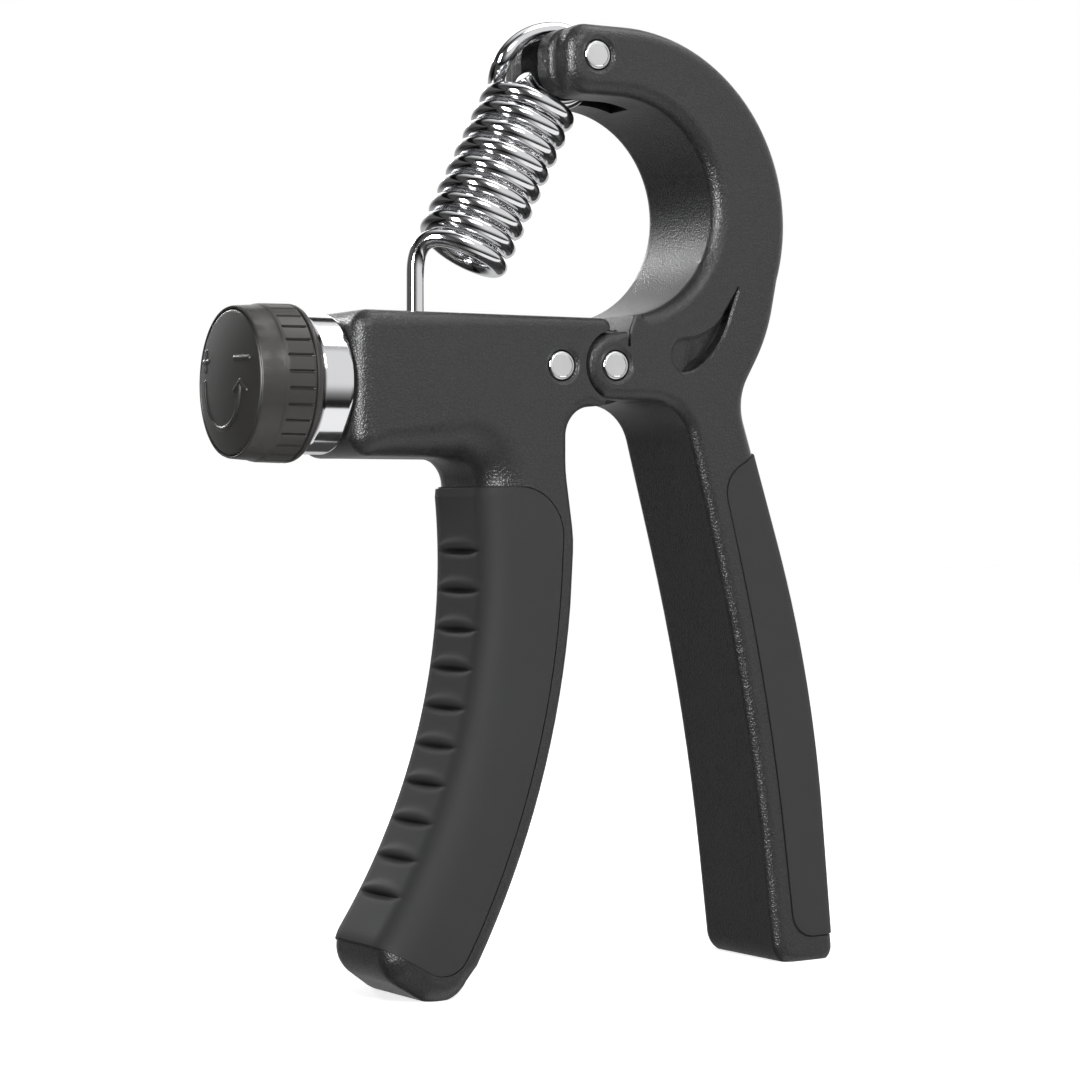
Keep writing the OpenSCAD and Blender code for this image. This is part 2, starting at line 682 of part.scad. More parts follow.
// One unbroken tube along the points; the sides never twist
module tube(points, r, sides) {
    n = len(points);
    along = [for (i = [0:n - 1]) unit(points[min(i + 1, n - 1)] - points[max(i - 1, 0)])];
    side = [for (i = 0, s = next_side([0, 1, 0], along[0]); i < n;
        i = i + 1, s = next_side(s, along[min(i, n - 1)])) s];
    ring = [for (i = [0:n - 1]) each let (u = side[i], v = cross(along[i], u))
        [for (k = [0:sides - 1]) points[i] + r * (u * cos(360 * k / sides) + v * sin(360 * k / sides))]];
    walls = [for (i = [0:n - 2]) each [for (k = [0:sides - 1]) each
        let (a = i * sides + k, b = i * sides + (k + 1) % sides)
        [[a, a + sides, b], [b, a + sides, b + sides]]]];
    e = (n - 1) * sides;
    first = [for (k = [1:sides - 2]) [0, k, k + 1]];
    last = [for (k = [1:sides - 2]) [e, e + k + 1, e + k]];
    polyhedron(points = ring, faces = concat(walls, first, last), convexity = 10);
}

// Least gap between two stretches of the wire, measured on fine points at least one third of a turn apart
coil_gap = min([for (a = [0:15:345]) for (b = [a + 300:5:a + 420]) norm(coil_at(a) - coil_at(b))]) - wire_d;
end_gap = min([for (i = [0:36]) for (j = [i + 6:min(i + 34, len(spring_line) - 1)])
    norm(spring_line[i] - spring_line[j])]) - wire_d;
foot_gap = let (n = len(spring_line)) min([for (i = [n - 18:n - 1]) for (j = [n - 34:i - 7])
    norm(spring_line[i] - spring_line[j])]) - wire_d;
echo(least_gap_of_spring = min(coil_gap, end_gap, foot_gap), coil_gap, end_gap, foot_gap);

module spring() { chrome() stand() tube(spring_line, wire_r, 6); }

front_handle();
front_grip();
rear_handle();
rear_grip();
pivot_pin();
pivot_sleeve();
top_pin();
bearing_pin();
barrel_collar();
mouth_bush();
thrust_washer();
retaining_clip();
lead_screw();
knob_shell();
knob_cap();
knob_screw();
slider_block();
slider_nut();
hook_pin();
screw_bearing();
spring();
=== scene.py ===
import math

import bmesh
import bpy
import numpy as np
from mathutils import Matrix, Vector


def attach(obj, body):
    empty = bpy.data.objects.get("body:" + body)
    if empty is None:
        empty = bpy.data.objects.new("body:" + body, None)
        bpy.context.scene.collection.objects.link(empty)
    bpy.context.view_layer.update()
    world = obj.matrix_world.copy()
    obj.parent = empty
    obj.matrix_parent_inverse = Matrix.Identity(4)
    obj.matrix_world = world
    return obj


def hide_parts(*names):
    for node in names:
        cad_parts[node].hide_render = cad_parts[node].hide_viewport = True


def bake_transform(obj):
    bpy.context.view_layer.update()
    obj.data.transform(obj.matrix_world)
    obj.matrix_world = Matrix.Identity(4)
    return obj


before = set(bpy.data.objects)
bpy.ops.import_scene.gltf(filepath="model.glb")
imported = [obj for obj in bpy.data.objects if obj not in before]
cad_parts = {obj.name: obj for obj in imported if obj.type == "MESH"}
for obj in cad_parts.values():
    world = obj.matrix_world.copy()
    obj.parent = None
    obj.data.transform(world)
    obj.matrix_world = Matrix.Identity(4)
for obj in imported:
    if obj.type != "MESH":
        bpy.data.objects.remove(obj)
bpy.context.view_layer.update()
print("frame loaded,", len(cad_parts), "nodes")

# Working frame: the main pivot is the origin, x runs from the knob to the rear handle,
# y is the thickness and z is up, all in mm.
stance = {"lean": 1.6, "pivot": (11.9, 0.0, 99.4)}
leanTurn = Matrix.Rotation(math.radians(stance["lean"]), 3, "Y")


def placed(points):
    # the working frame leans about y onto both handle tips, moves up to the pivot and turns from mm into metres
    return (np.asarray(points, float).reshape(-1, 3) @ np.array(leanTurn, float).T + stance["pivot"]) / 1000


def released(points):
    # the working-frame place of points in metres
    return (np.asarray(points, float).reshape(-1, 3) * 1000 - stance["pivot"]) @ np.array(leanTurn, float)


def unit(vectors):
    vectors = np.asarray(vectors, float)
    return vectors / np.linalg.norm(vectors, axis=-1, keepdims=True)


def arcPoints(centre, radius, start, stop, edge=0.0, step=2.5):
    # centre plus radius times (cos, sin) of even angles; the third column is the rounding of the edge there
    angles = np.radians(np.linspace(start, stop, max(2, math.ceil(abs(stop - start) / step)) + 1))
    ring = np.array(centre) + radius * np.column_stack((np.cos(angles), np.sin(angles)))
    return np.column_stack((ring, np.full(len(ring), edge)))


def cornerArc(before, corner, after):
    # the arc of the corner's radius that touches the sides to the points before and after it
    at = np.array(corner[:2])
    toBefore, toAfter = unit(np.array(before[:2]) - at), unit(np.array(after[:2]) - at)
    half = math.acos(float(toBefore @ toAfter)) / 2
    centre = at + unit(toBefore + toAfter) * corner[3] / math.sin(half)
    start = at + toBefore * corner[3] / math.tan(half) - centre
    a, b = at - before[:2], np.array(after[:2]) - at
    turn = math.copysign(180 - 2 * math.degrees(half), a[0] * b[1] - a[1] * b[0])
    first = math.degrees(math.atan2(start[1], start[0]))
    return arcPoints(centre, corner[3], first, first + turn, corner[2], 6 if corner[3] < 30 else 1)


def rounded(*stretches):
    # rows are x, z, edge; a row with a fourth number is a corner of that radius
    rows = [np.array(row, float) for stretch in stretches for row in (stretch if np.ndim(stretch) > 1 else [stretch])]
    return np.vstack([cornerArc(rows[i - 1], row, rows[(i + 1) % len(rows)]) if len(row) > 3 else row[None]
                      for i, row in enumerate(rows)])


def outwardOf(line, closed=True):
    # a quarter turn of the line between both neighbours, away from the inside, which the sign of the area tells
    ahead, behind = np.roll(line[:, :2], -1, 0), np.roll(line[:, :2], 1, 0)
    turn = np.sign(np.sum(line[:, 0] * (ahead - behind)[:, 1]))
    if not closed:
        ahead[-1], behind[0] = line[-1, :2], line[0, :2]
    along = unit(ahead - behind)
    return np.column_stack((along[:, 1], -along[:, 0])) * (turn if closed else 1)


def resampled(line, shares):
    # points at the given shares of the line's length
    gone = np.concatenate(([0], np.cumsum(np.linalg.norm(np.diff(line[:, :2], axis=0), axis=1))))
    return np.column_stack([np.interp(np.asarray(shares) * gone[-1], gone, column) for column in line.T])


def bend(points, steps=6):
    # a smooth run through the points, by cubics whose slopes are half the step between their neighbours
    points = np.array(points, float)
    padded = np.vstack((2 * points[0] - points[1], points, 2 * points[-1] - points[-2]))
    slope = (padded[2:] - padded[:-2]) / 2
    t = (np.arange(steps) / steps)[None, :, None]
    a, b, u, v = points[:-1, None], points[1:, None], slope[:-1, None], slope[1:, None]
    run = (a * (2 * t ** 3 - 3 * t * t + 1) + u * (t ** 3 - 2 * t * t + t) + b * (3 * t * t - 2 * t ** 3)
           + v * (t ** 3 - t * t))
    return np.vstack((run.reshape(-1, 2), points[-1:]))


def within(line, x, z):
    # 1 inside the closed line, else 0: whether a level ray to the right crosses it an odd number of times
    a, b = line[:, :, None], np.roll(line, -1, 0)[:, :, None]
    straddles = (a[:, 1] > z) != (b[:, 1] > z)
    rise = np.where(straddles, b[:, 1] - a[:, 1], 1)
    return np.sum(straddles & (x < a[:, 0] + (z - a[:, 1]) * (b[:, 0] - a[:, 0]) / rise), axis=0) % 2


def angleAt(centre, radius, height):
    return math.degrees(math.asin((height - centre[1]) / radius))


def addPiece(name, points, faces):
    mesh = bpy.data.meshes.new(name)
    mesh.from_pydata(placed(points), [], faces)
    piece = bpy.data.objects.new(name, mesh)
    bpy.context.scene.collection.objects.link(piece)
    weld = bmesh.new()
    weld.from_mesh(mesh)
    bmesh.ops.remove_doubles(weld, verts=weld.verts, dist=2e-7)
    bmesh.ops.dissolve_degenerate(weld, edges=weld.edges, dist=1e-7)
    bmesh.ops.recalc_face_normals(weld, faces=weld.faces)
    if weld.calc_volume(signed=True) < 0:
        bmesh.ops.reverse_faces(weld, faces=weld.faces)
    weld.to_mesh(mesh)
    weld.free()
    return piece


def gridFaces(rows, columns, loopRows=False, loopColumns=False, start=0):
    # one quad for every cell of a grid of points numbered row by row
    index = np.arange(rows * columns).reshape(rows, columns) + start
    if loopRows:
        index = np.vstack((index, index[:1]))
    if loopColumns:
        index = np.hstack((index, index[:, :1]))
    return np.stack((index[:-1, :-1], index[:-1, 1:], index[1:, 1:], index[1:, :-1]), -1).reshape(-1, 4).tolist()


def tubeFaces(rings, count):
    # quads round all rings of count points, and one face over each end
    last = (rings - 1) * count
    ends = [list(range(count)), list(range(last, last + count))[::-1]]
    return gridFaces(rings, count, loopColumns=True) + ends


def slab(name, line, half, steps=8):
    # every outline point steps in by edge * (1 - sin a) while the depth grows by edge * (1 - cos a), on both rims
    angles = np.radians(np.linspace(0, 90, steps + 1))
    side = np.repeat([-1, 1], steps + 1)
    angles = np.concatenate((angles, angles[::-1]))
    out, edge = outwardOf(line), line[:, 2]
    inset = edge * (1 - np.sin(angles))[:, None]
    depth = side[:, None] * (half - edge * (1 - np.cos(angles))[:, None])
    rings = np.stack((line[:, 0] - out[:, 0] * inset, depth, line[:, 1] - out[:, 1] * inset), -1)
    return addPiece(name, rings, tubeFaces(len(angles), len(line)))


def prism(name, line, low, high, flare=0.0, flareDepth=0.0):
    # a straight cutter between two depths; with a flare its near mouth at depth low opens outwards
    out = outwardOf(np.asarray(line, float))
    levels = [(low, 0), (high, 0)]
    if flare:
        levels = [(low, flare + 0.6), (low + 0.6, flare), (low + 0.6 + flareDepth, 0), (high, 0)]
    depth, grow = np.array(levels, float).T[:, :, None]
    rings = np.stack((line[:, 0] + out[:, 0] * grow, depth + np.zeros(len(line)), line[:, 1] + out[:, 1] * grow), -1)
    return addPiece(name, rings, tubeFaces(len(levels), len(line)))


def box(name, x, y, z):
    line = np.array([[x[0], z[0]], [x[1], z[0]], [x[1], z[1]], [x[0], z[1]]], float)
    return prism(name, line, *y)


def turned(name, profile, centre, across=True, sides=96, ring=False):
    # profile rows are distance along the axle and radius, spun about it across the thickness or along the barrel
    profile = np.asarray(profile, float)
    spin = (np.arange(sides) + 0.5) * 2 * np.pi / sides
    along, radius = profile[:, 0][:, None], profile[:, 1][:, None]
    first, second = radius * np.cos(spin), radius * np.sin(spin)
    level = along + np.zeros(sides)
    if across:
        points = np.stack((centre[0] + first, level, centre[1] + second), -1)
    else:
        points = np.stack((centre[0] + level, first, centre[1] + second), -1)
    faces = gridFaces(len(profile), sides, True, True) if ring else tubeFaces(len(profile), sides)
    return addPiece(name, points, faces)


def shellBetween(name, top, under):
    # two grids of points, back to back, with their rims joined
    rows, columns = top.shape[:2]
    count = rows * columns
    index = np.arange(count).reshape(rows, columns)
    rim = np.concatenate((index[0], index[1:, -1], index[-1, -2::-1], index[-2:0:-1, 0]))
    walls = np.column_stack((rim, np.roll(rim, -1), np.roll(rim, -1) + count, rim + count)).tolist()
    faces = gridFaces(rows, columns) + gridFaces(rows, columns, start=count) + walls
    return addPiece(name, np.concatenate((top.reshape(-1, 3), under.reshape(-1, 3))), faces)


def settle(piece):
    # the piece keeps what its modifiers make of it
    made = bpy.data.meshes.new_from_object(piece.evaluated_get(bpy.context.evaluated_depsgraph_get()))
    piece.modifiers.clear()
    old = piece.data
    piece.data = made
    bpy.data.meshes.remove(old)
    made.name = piece.name


def carve(piece, cutters, operation="DIFFERENCE"):
    for cutter in cutters:
        cut = piece.modifiers.new("cut", "BOOLEAN")
        cut.operation, cut.solver, cut.object = operation, "EXACT", cutter
        settle(piece)
        bpy.data.objects.remove(cutter)


def finish(piece, material, body, node, angle=32):
    # smooth faces whose edges turn sharp past the angle, and what the piece stands for and moves with
    piece.data.materials.clear()
    piece.data.materials.append(material)
    piece.data.shade_smooth()
    piece.data.set_sharp_from_angle(angle=math.radians(angle))
    piece.modifiers.new("weighted", "WEIGHTED_NORMAL").keep_sharp = True
    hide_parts(node)
    if body:
        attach(piece, body)
    print(piece.name, len(piece.data.polygons), "faces")


def newGroup(name, inputs, outputs):
    group = bpy.data.node_groups.new(name, "ShaderNodeTree")
    group.interface.new_socket("Vector", in_out="INPUT", socket_type="NodeSocketVector")
    for label, value in inputs.items():
        group.interface.new_socket(label, in_out="INPUT", socket_type="NodeSocketFloat").default_value = value
    for label in outputs:
        group.interface.new_socket(label, in_out="OUTPUT", socket_type="NodeSocketFloat")
    return group, group.nodes.new("NodeGroupInput"), group.nodes.new("NodeGroupOutput")


def addNode(tree, kind, values=None, **settings):
    node = tree.nodes.new(kind)
    for key, value in settings.items():
        setattr(node, key, value)
    for key, value in (values or {}).items():
        node.inputs[key].default_value = value
    return node


def wire(tree, *links):
    # each link is a node, its output, the node it feeds and that one's input
    for source, output, target, socket in links:
        tree.links.new(source.outputs[output], target.inputs[socket])


def makeGrain():
    # fine leather grain: the rounded cells of a swayed voronoi pattern, crossed by a finer noise
    group, given, made = newGroup("leather grain", {"Cells": 1900.0}, ("Height", "Crease"))
    sway = addNode(group, "ShaderNodeTexNoise", {"Scale": 900.0, "Detail": 2.0})
    shift = addNode(group, "ShaderNodeVectorMath", {1: (0.0006, 0.0006, 0.0006)}, operation="MULTIPLY_ADD")
    cells = addNode(group, "ShaderNodeTexVoronoi", feature="DISTANCE_TO_EDGE")
    domed = addNode(group, "ShaderNodeMapRange", {"From Max": 0.22}, interpolation_type="SMOOTHSTEP")
    fine = addNode(group, "ShaderNodeTexNoise", {"Scale": 5200.0, "Detail": 3.0})
    mixed = addNode(group, "ShaderNodeMix", {"Factor": 0.25}, data_type="FLOAT")
    wire(group, (given, "Vector", sway, "Vector"), (sway, "Color", shift, 0), (given, "Vector", shift, 2),
         (shift, 0, cells, "Vector"), (given, "Cells", cells, "Scale"), (cells, "Distance", domed, "Value"),
         (given, "Vector", fine, "Vector"), (domed, "Result", mixed, 2), (fine, "Fac", mixed, 3),
         (mixed, 0, made, "Height"), (domed, "Result", made, "Crease"))
    return group


def makeWear():
    # handling marks: a wide cloudy noise for the sheen and a narrow one for specks
    group, given, made = newGroup("handling marks", {"Size": 60.0}, ("Sheen", "Specks"))
    wide = addNode(group, "ShaderNodeTexNoise", {"Detail": 4.0, "Roughness": 0.6})
    narrow = addNode(group, "ShaderNodeTexNoise", {"Scale": 2600.0, "Detail": 2.0})
    specks = addNode(group, "ShaderNodeMapRange", {"From Min": 0.62, "From Max": 0.75})
    wire(group, (given, "Vector", wide, "Vector"), (given, "Size", wide, "Scale"), (given, "Vector", narrow, "Vector"),
         (narrow, "Fac", specks, "Value"), (wide, "Fac", made, "Sheen"), (specks, "Result", made, "Specks"))
    return group


grainGroup, wearGroup = makeGrain(), makeWear()


def newFinish(name, metallic=0.0):
    material = bpy.data.materials.new(name)
    material.use_nodes = True
    tree = material.node_tree
    tree.nodes.clear()
    shader = addNode(tree, "ShaderNodeBsdfPrincipled", {"Metallic": metallic})
    wire(tree, (shader, 0, tree.nodes.new("ShaderNodeOutputMaterial"), 0))
    return material, tree, shader


def placeGroup(tree, group, coords, values):
    node = addNode(tree, "ShaderNodeGroup", values, node_tree=group)
    wire(tree, (coords, "Object", node, "Vector"))
    return node


def paintShadeInRecesses(tree, shader, colour, deepestShade):
    # painted shade: the colour times a factor that falls from 1 on the surface to the deepest shade in the recesses
    recess = addNode(tree, "ShaderNodeAttribute", attribute_name="recess")
    shade = addNode(tree, "ShaderNodeMapRange", {"From Max": 1.0, "To Min": 1.0, "To Max": deepestShade})
    darker = addNode(tree, "ShaderNodeVectorMath", operation="SCALE")
    wire(tree, (recess, "Fac", shade, "Value"), (colour, 2, darker, 0), (shade, "Result", darker, "Scale"),
         (darker, 0, shader, "Base Color"))


def makeFinish(name, look):
    # the handling marks move the colour from dark to light and the roughness between its two values, and their
    # specks raise the surface; with cells, the leather grain gives the colour and the height instead
    material, tree, shader = newFinish(name, look.get("metallic", 0.0))
    coords = tree.nodes.new("ShaderNodeTexCoord")
    wear = placeGroup(tree, wearGroup, coords, {"Size": look["size"]})
    colour = addNode(tree, "ShaderNodeMix", {6: (*look["dark"], 1), 7: (*look["light"], 1)}, data_type="RGBA")
    least, most = look["rough"]
    rough = addNode(tree, "ShaderNodeMapRange", {"From Min": 0.3, "From Max": 0.7, "To Min": least, "To Max": most})
    bump = addNode(tree, "ShaderNodeBump", {"Strength": look["bump"], "Distance": look["depth"]})
    if "cells" in look:
        grain = placeGroup(tree, grainGroup, coords, {"Cells": look["cells"]})
        wire(tree, (grain, "Crease", colour, "Factor"), (grain, "Height", bump, "Height"))
    else:
        wire(tree, (wear, "Sheen", colour, "Factor"), (wear, "Specks", bump, "Height"))
    # with recess, painted shade darkens the colour in the recesses
    if "recess" in look:
        paintShadeInRecesses(tree, shader, colour, look["recess"])
    else:
        wire(tree, (colour, 2, shader, "Base Color"))
    if "specular" in look:
        shader.inputs["Specular IOR Level"].default_value = look["specular"]
    wire(tree, (wear, "Sheen", rough, "Value"), (rough, "Result", shader, "Roughness"),
         (bump, "Normal", shader, "Normal"))
    return material


# size is the scale of the handling marks; depth is in metres; recess is the darkest factor of the painted shade in
# recesses
looks = {
    "bodyPlastic": {"slot": "body", "dark": (0.030, 0.030, 0.031), "light": (0.040, 0.040, 0.041), "recess": 0.12,
                    "rough": (0.30, 0.40), "size": 55.0, "cells": 1900.0, "bump": 0.34, "depth": 0.00012},
    "gripRubber": {"slot": "grip", "dark": (0.051, 0.051, 0.052), "light": (0.059, 0.059, 0.060), "recess": 0.05,
                   "rough": (0.60, 0.70), "size": 45.0, "bump": 0.12, "depth": 0.00005, "specular": 0.14},
    "knobPlastic": {"slot": "knob", "dark": (0.044, 0.041, 0.039), "light": (0.056, 0.053, 0.051),
                    "rough": (0.34, 0.46), "size": 70.0, "bump": 0.10, "depth": 0.00004},
    "bearingNylon": {"slot": "nylon", "dark": (0.62, 0.61, 0.57), "light": (0.72, 0.71, 0.67),
                     "rough": (0.40, 0.55), "size": 90.0, "bump": 0.08, "depth": 0.00004},
    "brushedPinFace": {"slot": "pinFace", "dark": (0.70, 0.70, 0.70), "light": (0.77, 0.77, 0.77), "metallic": 1.0,
                       "rough": (0.38, 0.46), "size": 300.0, "bump": 0.10, "depth": 0.00003},
    "polishedChrome": {"slot": "chrome", "dark": (0.80, 0.80, 0.82), "light": (0.86, 0.86, 0.87), "metallic": 1.0,
                       "rough": (0.08, 0.13), "size": 80.0, "bump": 0.0, "depth": 0.00002},
    "machinedSteel": {"slot": "steel", "dark": (0.50, 0.50, 0.51), "light": (0.60, 0.60, 0.61), "metallic": 1.0,
                      "rough": (0.24, 0.38), "size": 140.0, "bump": 0.20, "depth": 0.00004},
    "turnedBrass": {"slot": "brass", "dark": (0.60, 0.47, 0.22), "light": (0.74, 0.60, 0.30), "metallic": 1.0,
                    "rough": (0.22, 0.36), "size": 140.0, "bump": 0.20, "depth": 0.00004}}
finishes = {look["slot"]: makeFinish(name, look) for name, look in looks.items()}
print("finishes ready")


# sizes that the handles share; seam and groove are the width and the depth of the gap round a rubber
shape = {"halfWidth": 11.4, "proud": 0.6, "sideProud": 0.2, "seam": 0.22, "groove": 0.35, "skin": 1.4,
         "bodyEdge": 1.9, "armEdge": 2.4, "fingerEdge": 5.4}
barrel = {"reach": 46.8, "top": 7.6, "height": 22.8, "bore": 8.0, "boreEnd": -15.25, "slotHalf": 3.7,
          "slotFrom": -40.25, "slotTo": -22.55, "collar": 5.8, "collarRadius": 11.0, "collarBore": 7.98}
barrel["axis"] = barrel["top"] - barrel["height"] / 2
pins = {"radius": 2.4, "play": 0.12, "rim": 0.5, "sink": 0.2, "dish": 0.06, "sleeve": 3.42,
        "top": (-3.4, 49.8), "bearing": (-10.1, -0.3), "pivot": (0.0, 0.0)}
ears = {"radius": 5.5, "thickness": 4.5, "gap": 0.25, "tongue": 6.2, "recess": 5.85}
tongueHalf = shape["halfWidth"] - ears["thickness"] - ears["gap"]


front = {"fingerApex": (-22.3, -31.5), "fingerRadius": 105.1, "palmApex": (-7.4, -26.0), "palmRadius": 144.6,
         "tipLow": (-29.6, -103.3), "tipHigh": (-43.0, -94.6), "gripTop": -19.6, "gripRim": 2.6, "gripTail": 4.2,
         "endDirection": (13.6, -7.8), "tail": ((-16, -6.6), (-3.52, 3.52), (-5.02, 3.22))}
fingerCentre = np.array([front["fingerApex"][0] - front["fingerRadius"], front["fingerApex"][1]])
palmCentre = np.array([front["palmApex"][0] - front["palmRadius"], front["palmApex"][1]])


def frontLine():
    body, finger = shape["bodyEdge"], shape["fingerEdge"]
    mouth, low = -barrel["reach"], barrel["top"] - barrel["height"]
    fingerTurn = [angleAt(fingerCentre, front["fingerRadius"], z) for z in (-21.2, -89.0)]
    palmTurn = [angleAt(palmCentre, front["palmRadius"], z) for z in (-95.2, -38.6)]
    return rounded([mouth, barrel["top"], body * 1.5, 3.0], [mouth, low, body * 1.7, 3.4],
                   [-41.0, low, 4.6], [-32.0, low, 5.8], [-22.3, low, 6.6, 4.2],
                   arcPoints(fingerCentre, front["fingerRadius"], *fingerTurn, finger, 1.5),
                   [*front["tipHigh"], 4.8, 5.4], [*front["tipLow"], body * 1.7, 6.0],
                   arcPoints(palmCentre, front["palmRadius"], *palmTurn, body, 1.5),
                   [-7.35, -28.0, body, 22.0], [-8.9, -17.0, body, 24.0], [-8.9, -7.2, body, 4.9],
                   [-2.0, -6.5, 0.6, 0.9], [-0.5, barrel["top"], body * 0.8, 1.7])


def frontSeam(inset):
    # the palm-side boundary of the rubber, from the top edge round both corners to the tail edge
    along = unit(front["endDirection"])
    tail = np.array([along[1], -along[0]])
    base = -tail * front["gripTail"]
    low = np.array(front["tipLow"]) + base - along * front["gripRim"]
    high = np.array(front["tipHigh"]) + base - along * 8
    radius = front["palmRadius"] - front["gripRim"] - inset
    turn = [angleAt(palmCentre, radius, z) for z in (-90.5, -31.0)]
    line = rounded([high[0], high[1], 0], [low[0] - inset, low[1] + inset, 0, 4.6],
                   arcPoints(palmCentre, radius, *turn, 0, 1.5),
                   [-9.4 - inset, front["gripTop"] - inset, 0, 8 - inset], [-36, front["gripTop"] - inset, 0])
    return line[1:-1][::-1], tail


def fromBorder(values, rows, columns):
    # the values run inwards from all four borders of a grid, and where two borders meet the larger one counts
    down, across = (np.concatenate((values, np.zeros(count - 2 * len(values)), values[::-1]))
                    for count in (rows, columns))
    return np.maximum(down[:, None], across[None, :])


def gripGrid(outer, seam, seamOut, ends, grip, lift=0.0, drop=None, rim=0.15):
    # stations run along the handle and the section across them: flat side, rounded edge, outer face, rounded edge,
    # flat side. Towards its border the surface drops by rim * (1 - cos a) and moves out by rim * sin a, then it goes
    # straight down to the floor of the groove and out along it.
    radius, half = grip["radius"], shape["halfWidth"] + shape["sideProud"]
    border = np.array([90, 90, 90, 90, 72, 54, 36, 18]) if drop else np.array([])
    ledge, ledgeOut = np.zeros(len(border)), np.zeros(len(border))
    if drop:
        groove = min(drop, shape["groove"])
        ledge[:3], ledgeOut[:2] = (drop, groove, groove), shape["seam"] + 0.04
    flat, edge, face = grip["flat"], grip["bend"], grip["face"]
    lead, pad, arc = len(border) + flat - 1, np.zeros(len(border)), np.linspace(0, 90, edge)
    share = np.concatenate((pad, np.linspace(0, 1, flat)[:-1], np.ones(2 * edge + face),
                            np.linspace(1, 0, flat)[1:], pad))
    tilt = np.radians(np.concatenate((np.zeros(lead), arc, np.full(face, 90), arc[::-1], np.zeros(lead))))
    side = np.sign(np.arange(len(share)) - (len(share) - 1) / 2)
    size = (len(outer) + 2 * len(border), len(share))
    angle = np.radians(fromBorder(border, *size))
    low = rim * (1 - np.cos(angle)) - lift + fromBorder(ledge, *size)
    row = np.arange(size[0])
    station = np.clip(row - len(border), 0, len(outer) - 1)
    start, reach = outer[station][:, None], (seam - outer)[station]
    length = np.linalg.norm(reach, axis=1)[:, None]
    across = (reach / length)[:, None]
    # where the section is shorter than the rounding, its edge ends on the rounding
    least = np.arcsin(np.clip((radius - length) / (radius - low), 0, 1))
    tilt = least + (np.pi / 2 - least) * tilt / (np.pi / 2)
    bent = radius - (radius - low) * np.sin(tilt)
    inward = np.where((share < 1)[None, :], length + (np.minimum(radius, length) - length) * share, bent)
    depth = side * ((half - radius) + (radius - low) * np.cos(tilt))
    depth[:, lead + edge:lead + edge + face] = (half - radius) * np.linspace(-1, 1, face + 2)[1:-1]
    row = row[:, None, None]
    out = np.where(row < len(border), ends[0],
                   np.where(row >= size[0] - len(border), ends[1], seamOut[station][:, None]))
    plan = start + across * inward[..., None] + out * (rim * np.sin(angle) + fromBorder(ledgeOut, *size))[..., None]
    return np.stack((plan[..., 0], depth, plan[..., 1]), -1)


def gripPocket(lines, grip):
    # the room for a rubber in its handle, from above the handle's surface to a little under the rubber
    above = gripGrid(*lines, grip, lift=1.5, rim=0)
    return shellBetween("pocket", above, gripGrid(*lines, grip, lift=-shape["skin"] - 0.6, rim=0))


def gripRubber(name, lines, grip, relief=None):
    # the outer surface, with its relief if it has one, over an even inner one as deep as the skin
    top, under = gripGrid(*lines, grip, drop=0.8), gripGrid(*lines, grip, drop=0.01, lift=-shape["skin"])
    return shellBetween(name, relief(top) if relief else top, under)


def frontGripLines(inset, count=150):
    seam, tail = frontSeam(inset)
    seam = resampled(seam[:, :2], np.linspace(0, 1, count))
    seamOut = -outwardOf(seam, closed=False)
    seamOut[0], seamOut[-1] = (0, 1), tail
    # the outer line: the finger side of the grown outline, read at the seam's angles about the finger centre and
    # fitted to both end edges
    grown = frontLine()
    grown = grown[:, :2] + outwardOf(grown) * shape["proud"]
    x, z = grown.T
    grown = grown[(x < -20) & (z < -17.5) & (x < (z + 60) * 0.45 - 12)]
    grownTurn = np.arctan2(grown[:, 1] - fingerCentre[1], grown[:, 0] - fingerCentre[0])
    order = np.argsort(grownTurn)
    fine = np.linspace(grownTurn.min(), grownTurn.max(), 4000)
    reach = np.interp(fine, grownTurn[order], np.linalg.norm(grown - fingerCentre, axis=1)[order])
    path = fingerCentre + reach[:, None] * np.column_stack((np.cos(fine), np.sin(fine)))
    up = np.array([0.0, 1.0])
    topTurn, tailTurn = (fine[np.argmin(np.abs((path - seam[k]) @ way))] for k, way in ((0, up), (-1, tail)))
    share = np.linspace(0, 1, count)
    polar = np.arctan2(seam[:, 1] - fingerCentre[1], seam[:, 0] - fingerCentre[0])
    polar = polar + (topTurn - polar[0]) * (1 - share) ** 4 + (tailTurn - polar[-1]) * share ** 4
    outer = np.column_stack([np.interp(polar, fine, column) for column in path.T])
    return outer, seam, seamOut, (up, tail)


def belowFloor():
    # everything under the floor, so that the handle tips stand on flat faces
    corners = released([[-0.08, 0, 0], [0.08, 0, 0], [0.08, 0, -0.03], [-0.08, 0, -0.03]])[:, ::2]
    return prism("belowFloor", corners, -20, 20)


# first is the angle of the top rib in degrees; above and below are the groove's widths on its two sides
ribs = {"count": 10, "pitch": 6.35, "first": 0.9, "deep": 0.75, "lip": 0.3, "half": 6.3, "width": 1.15,
        "above": 0.5, "below": 1.0, "lipAt": 1.15, "fall": 2.2}


def ribShape(x, y, z):
    # each rib is a lens across the finger face, thinning towards its ends: a raised lip above a groove, both of them
    # exp(-fall * (distance / width)^2) along the handle, and the groove's upper wall is the steeper one
    polar = np.degrees(np.arctan2(z - fingerCentre[1], x - fingerCentre[0]))
    spacing = np.degrees(ribs["pitch"] / front["fingerRadius"])
    nearest = np.clip(np.round((ribs["first"] - polar) / spacing), 0, ribs["count"] - 1)
    along = np.radians(polar - (ribs["first"] - nearest * spacing)) * front["fingerRadius"]
    lens = np.sqrt(np.clip(1 - (y / ribs["half"]) ** 2, 0, 1))
    wide = ribs["width"] * (0.25 + 0.75 * lens)
    grooveWide = wide * np.where(along > 0, ribs["above"], ribs["below"])
    lipShape = np.exp(-(((along - ribs["lipAt"] * wide) / wide) ** 2) * ribs["fall"])
    return lens, np.exp(-((along / grooveWide) ** 2) * ribs["fall"]), lipShape


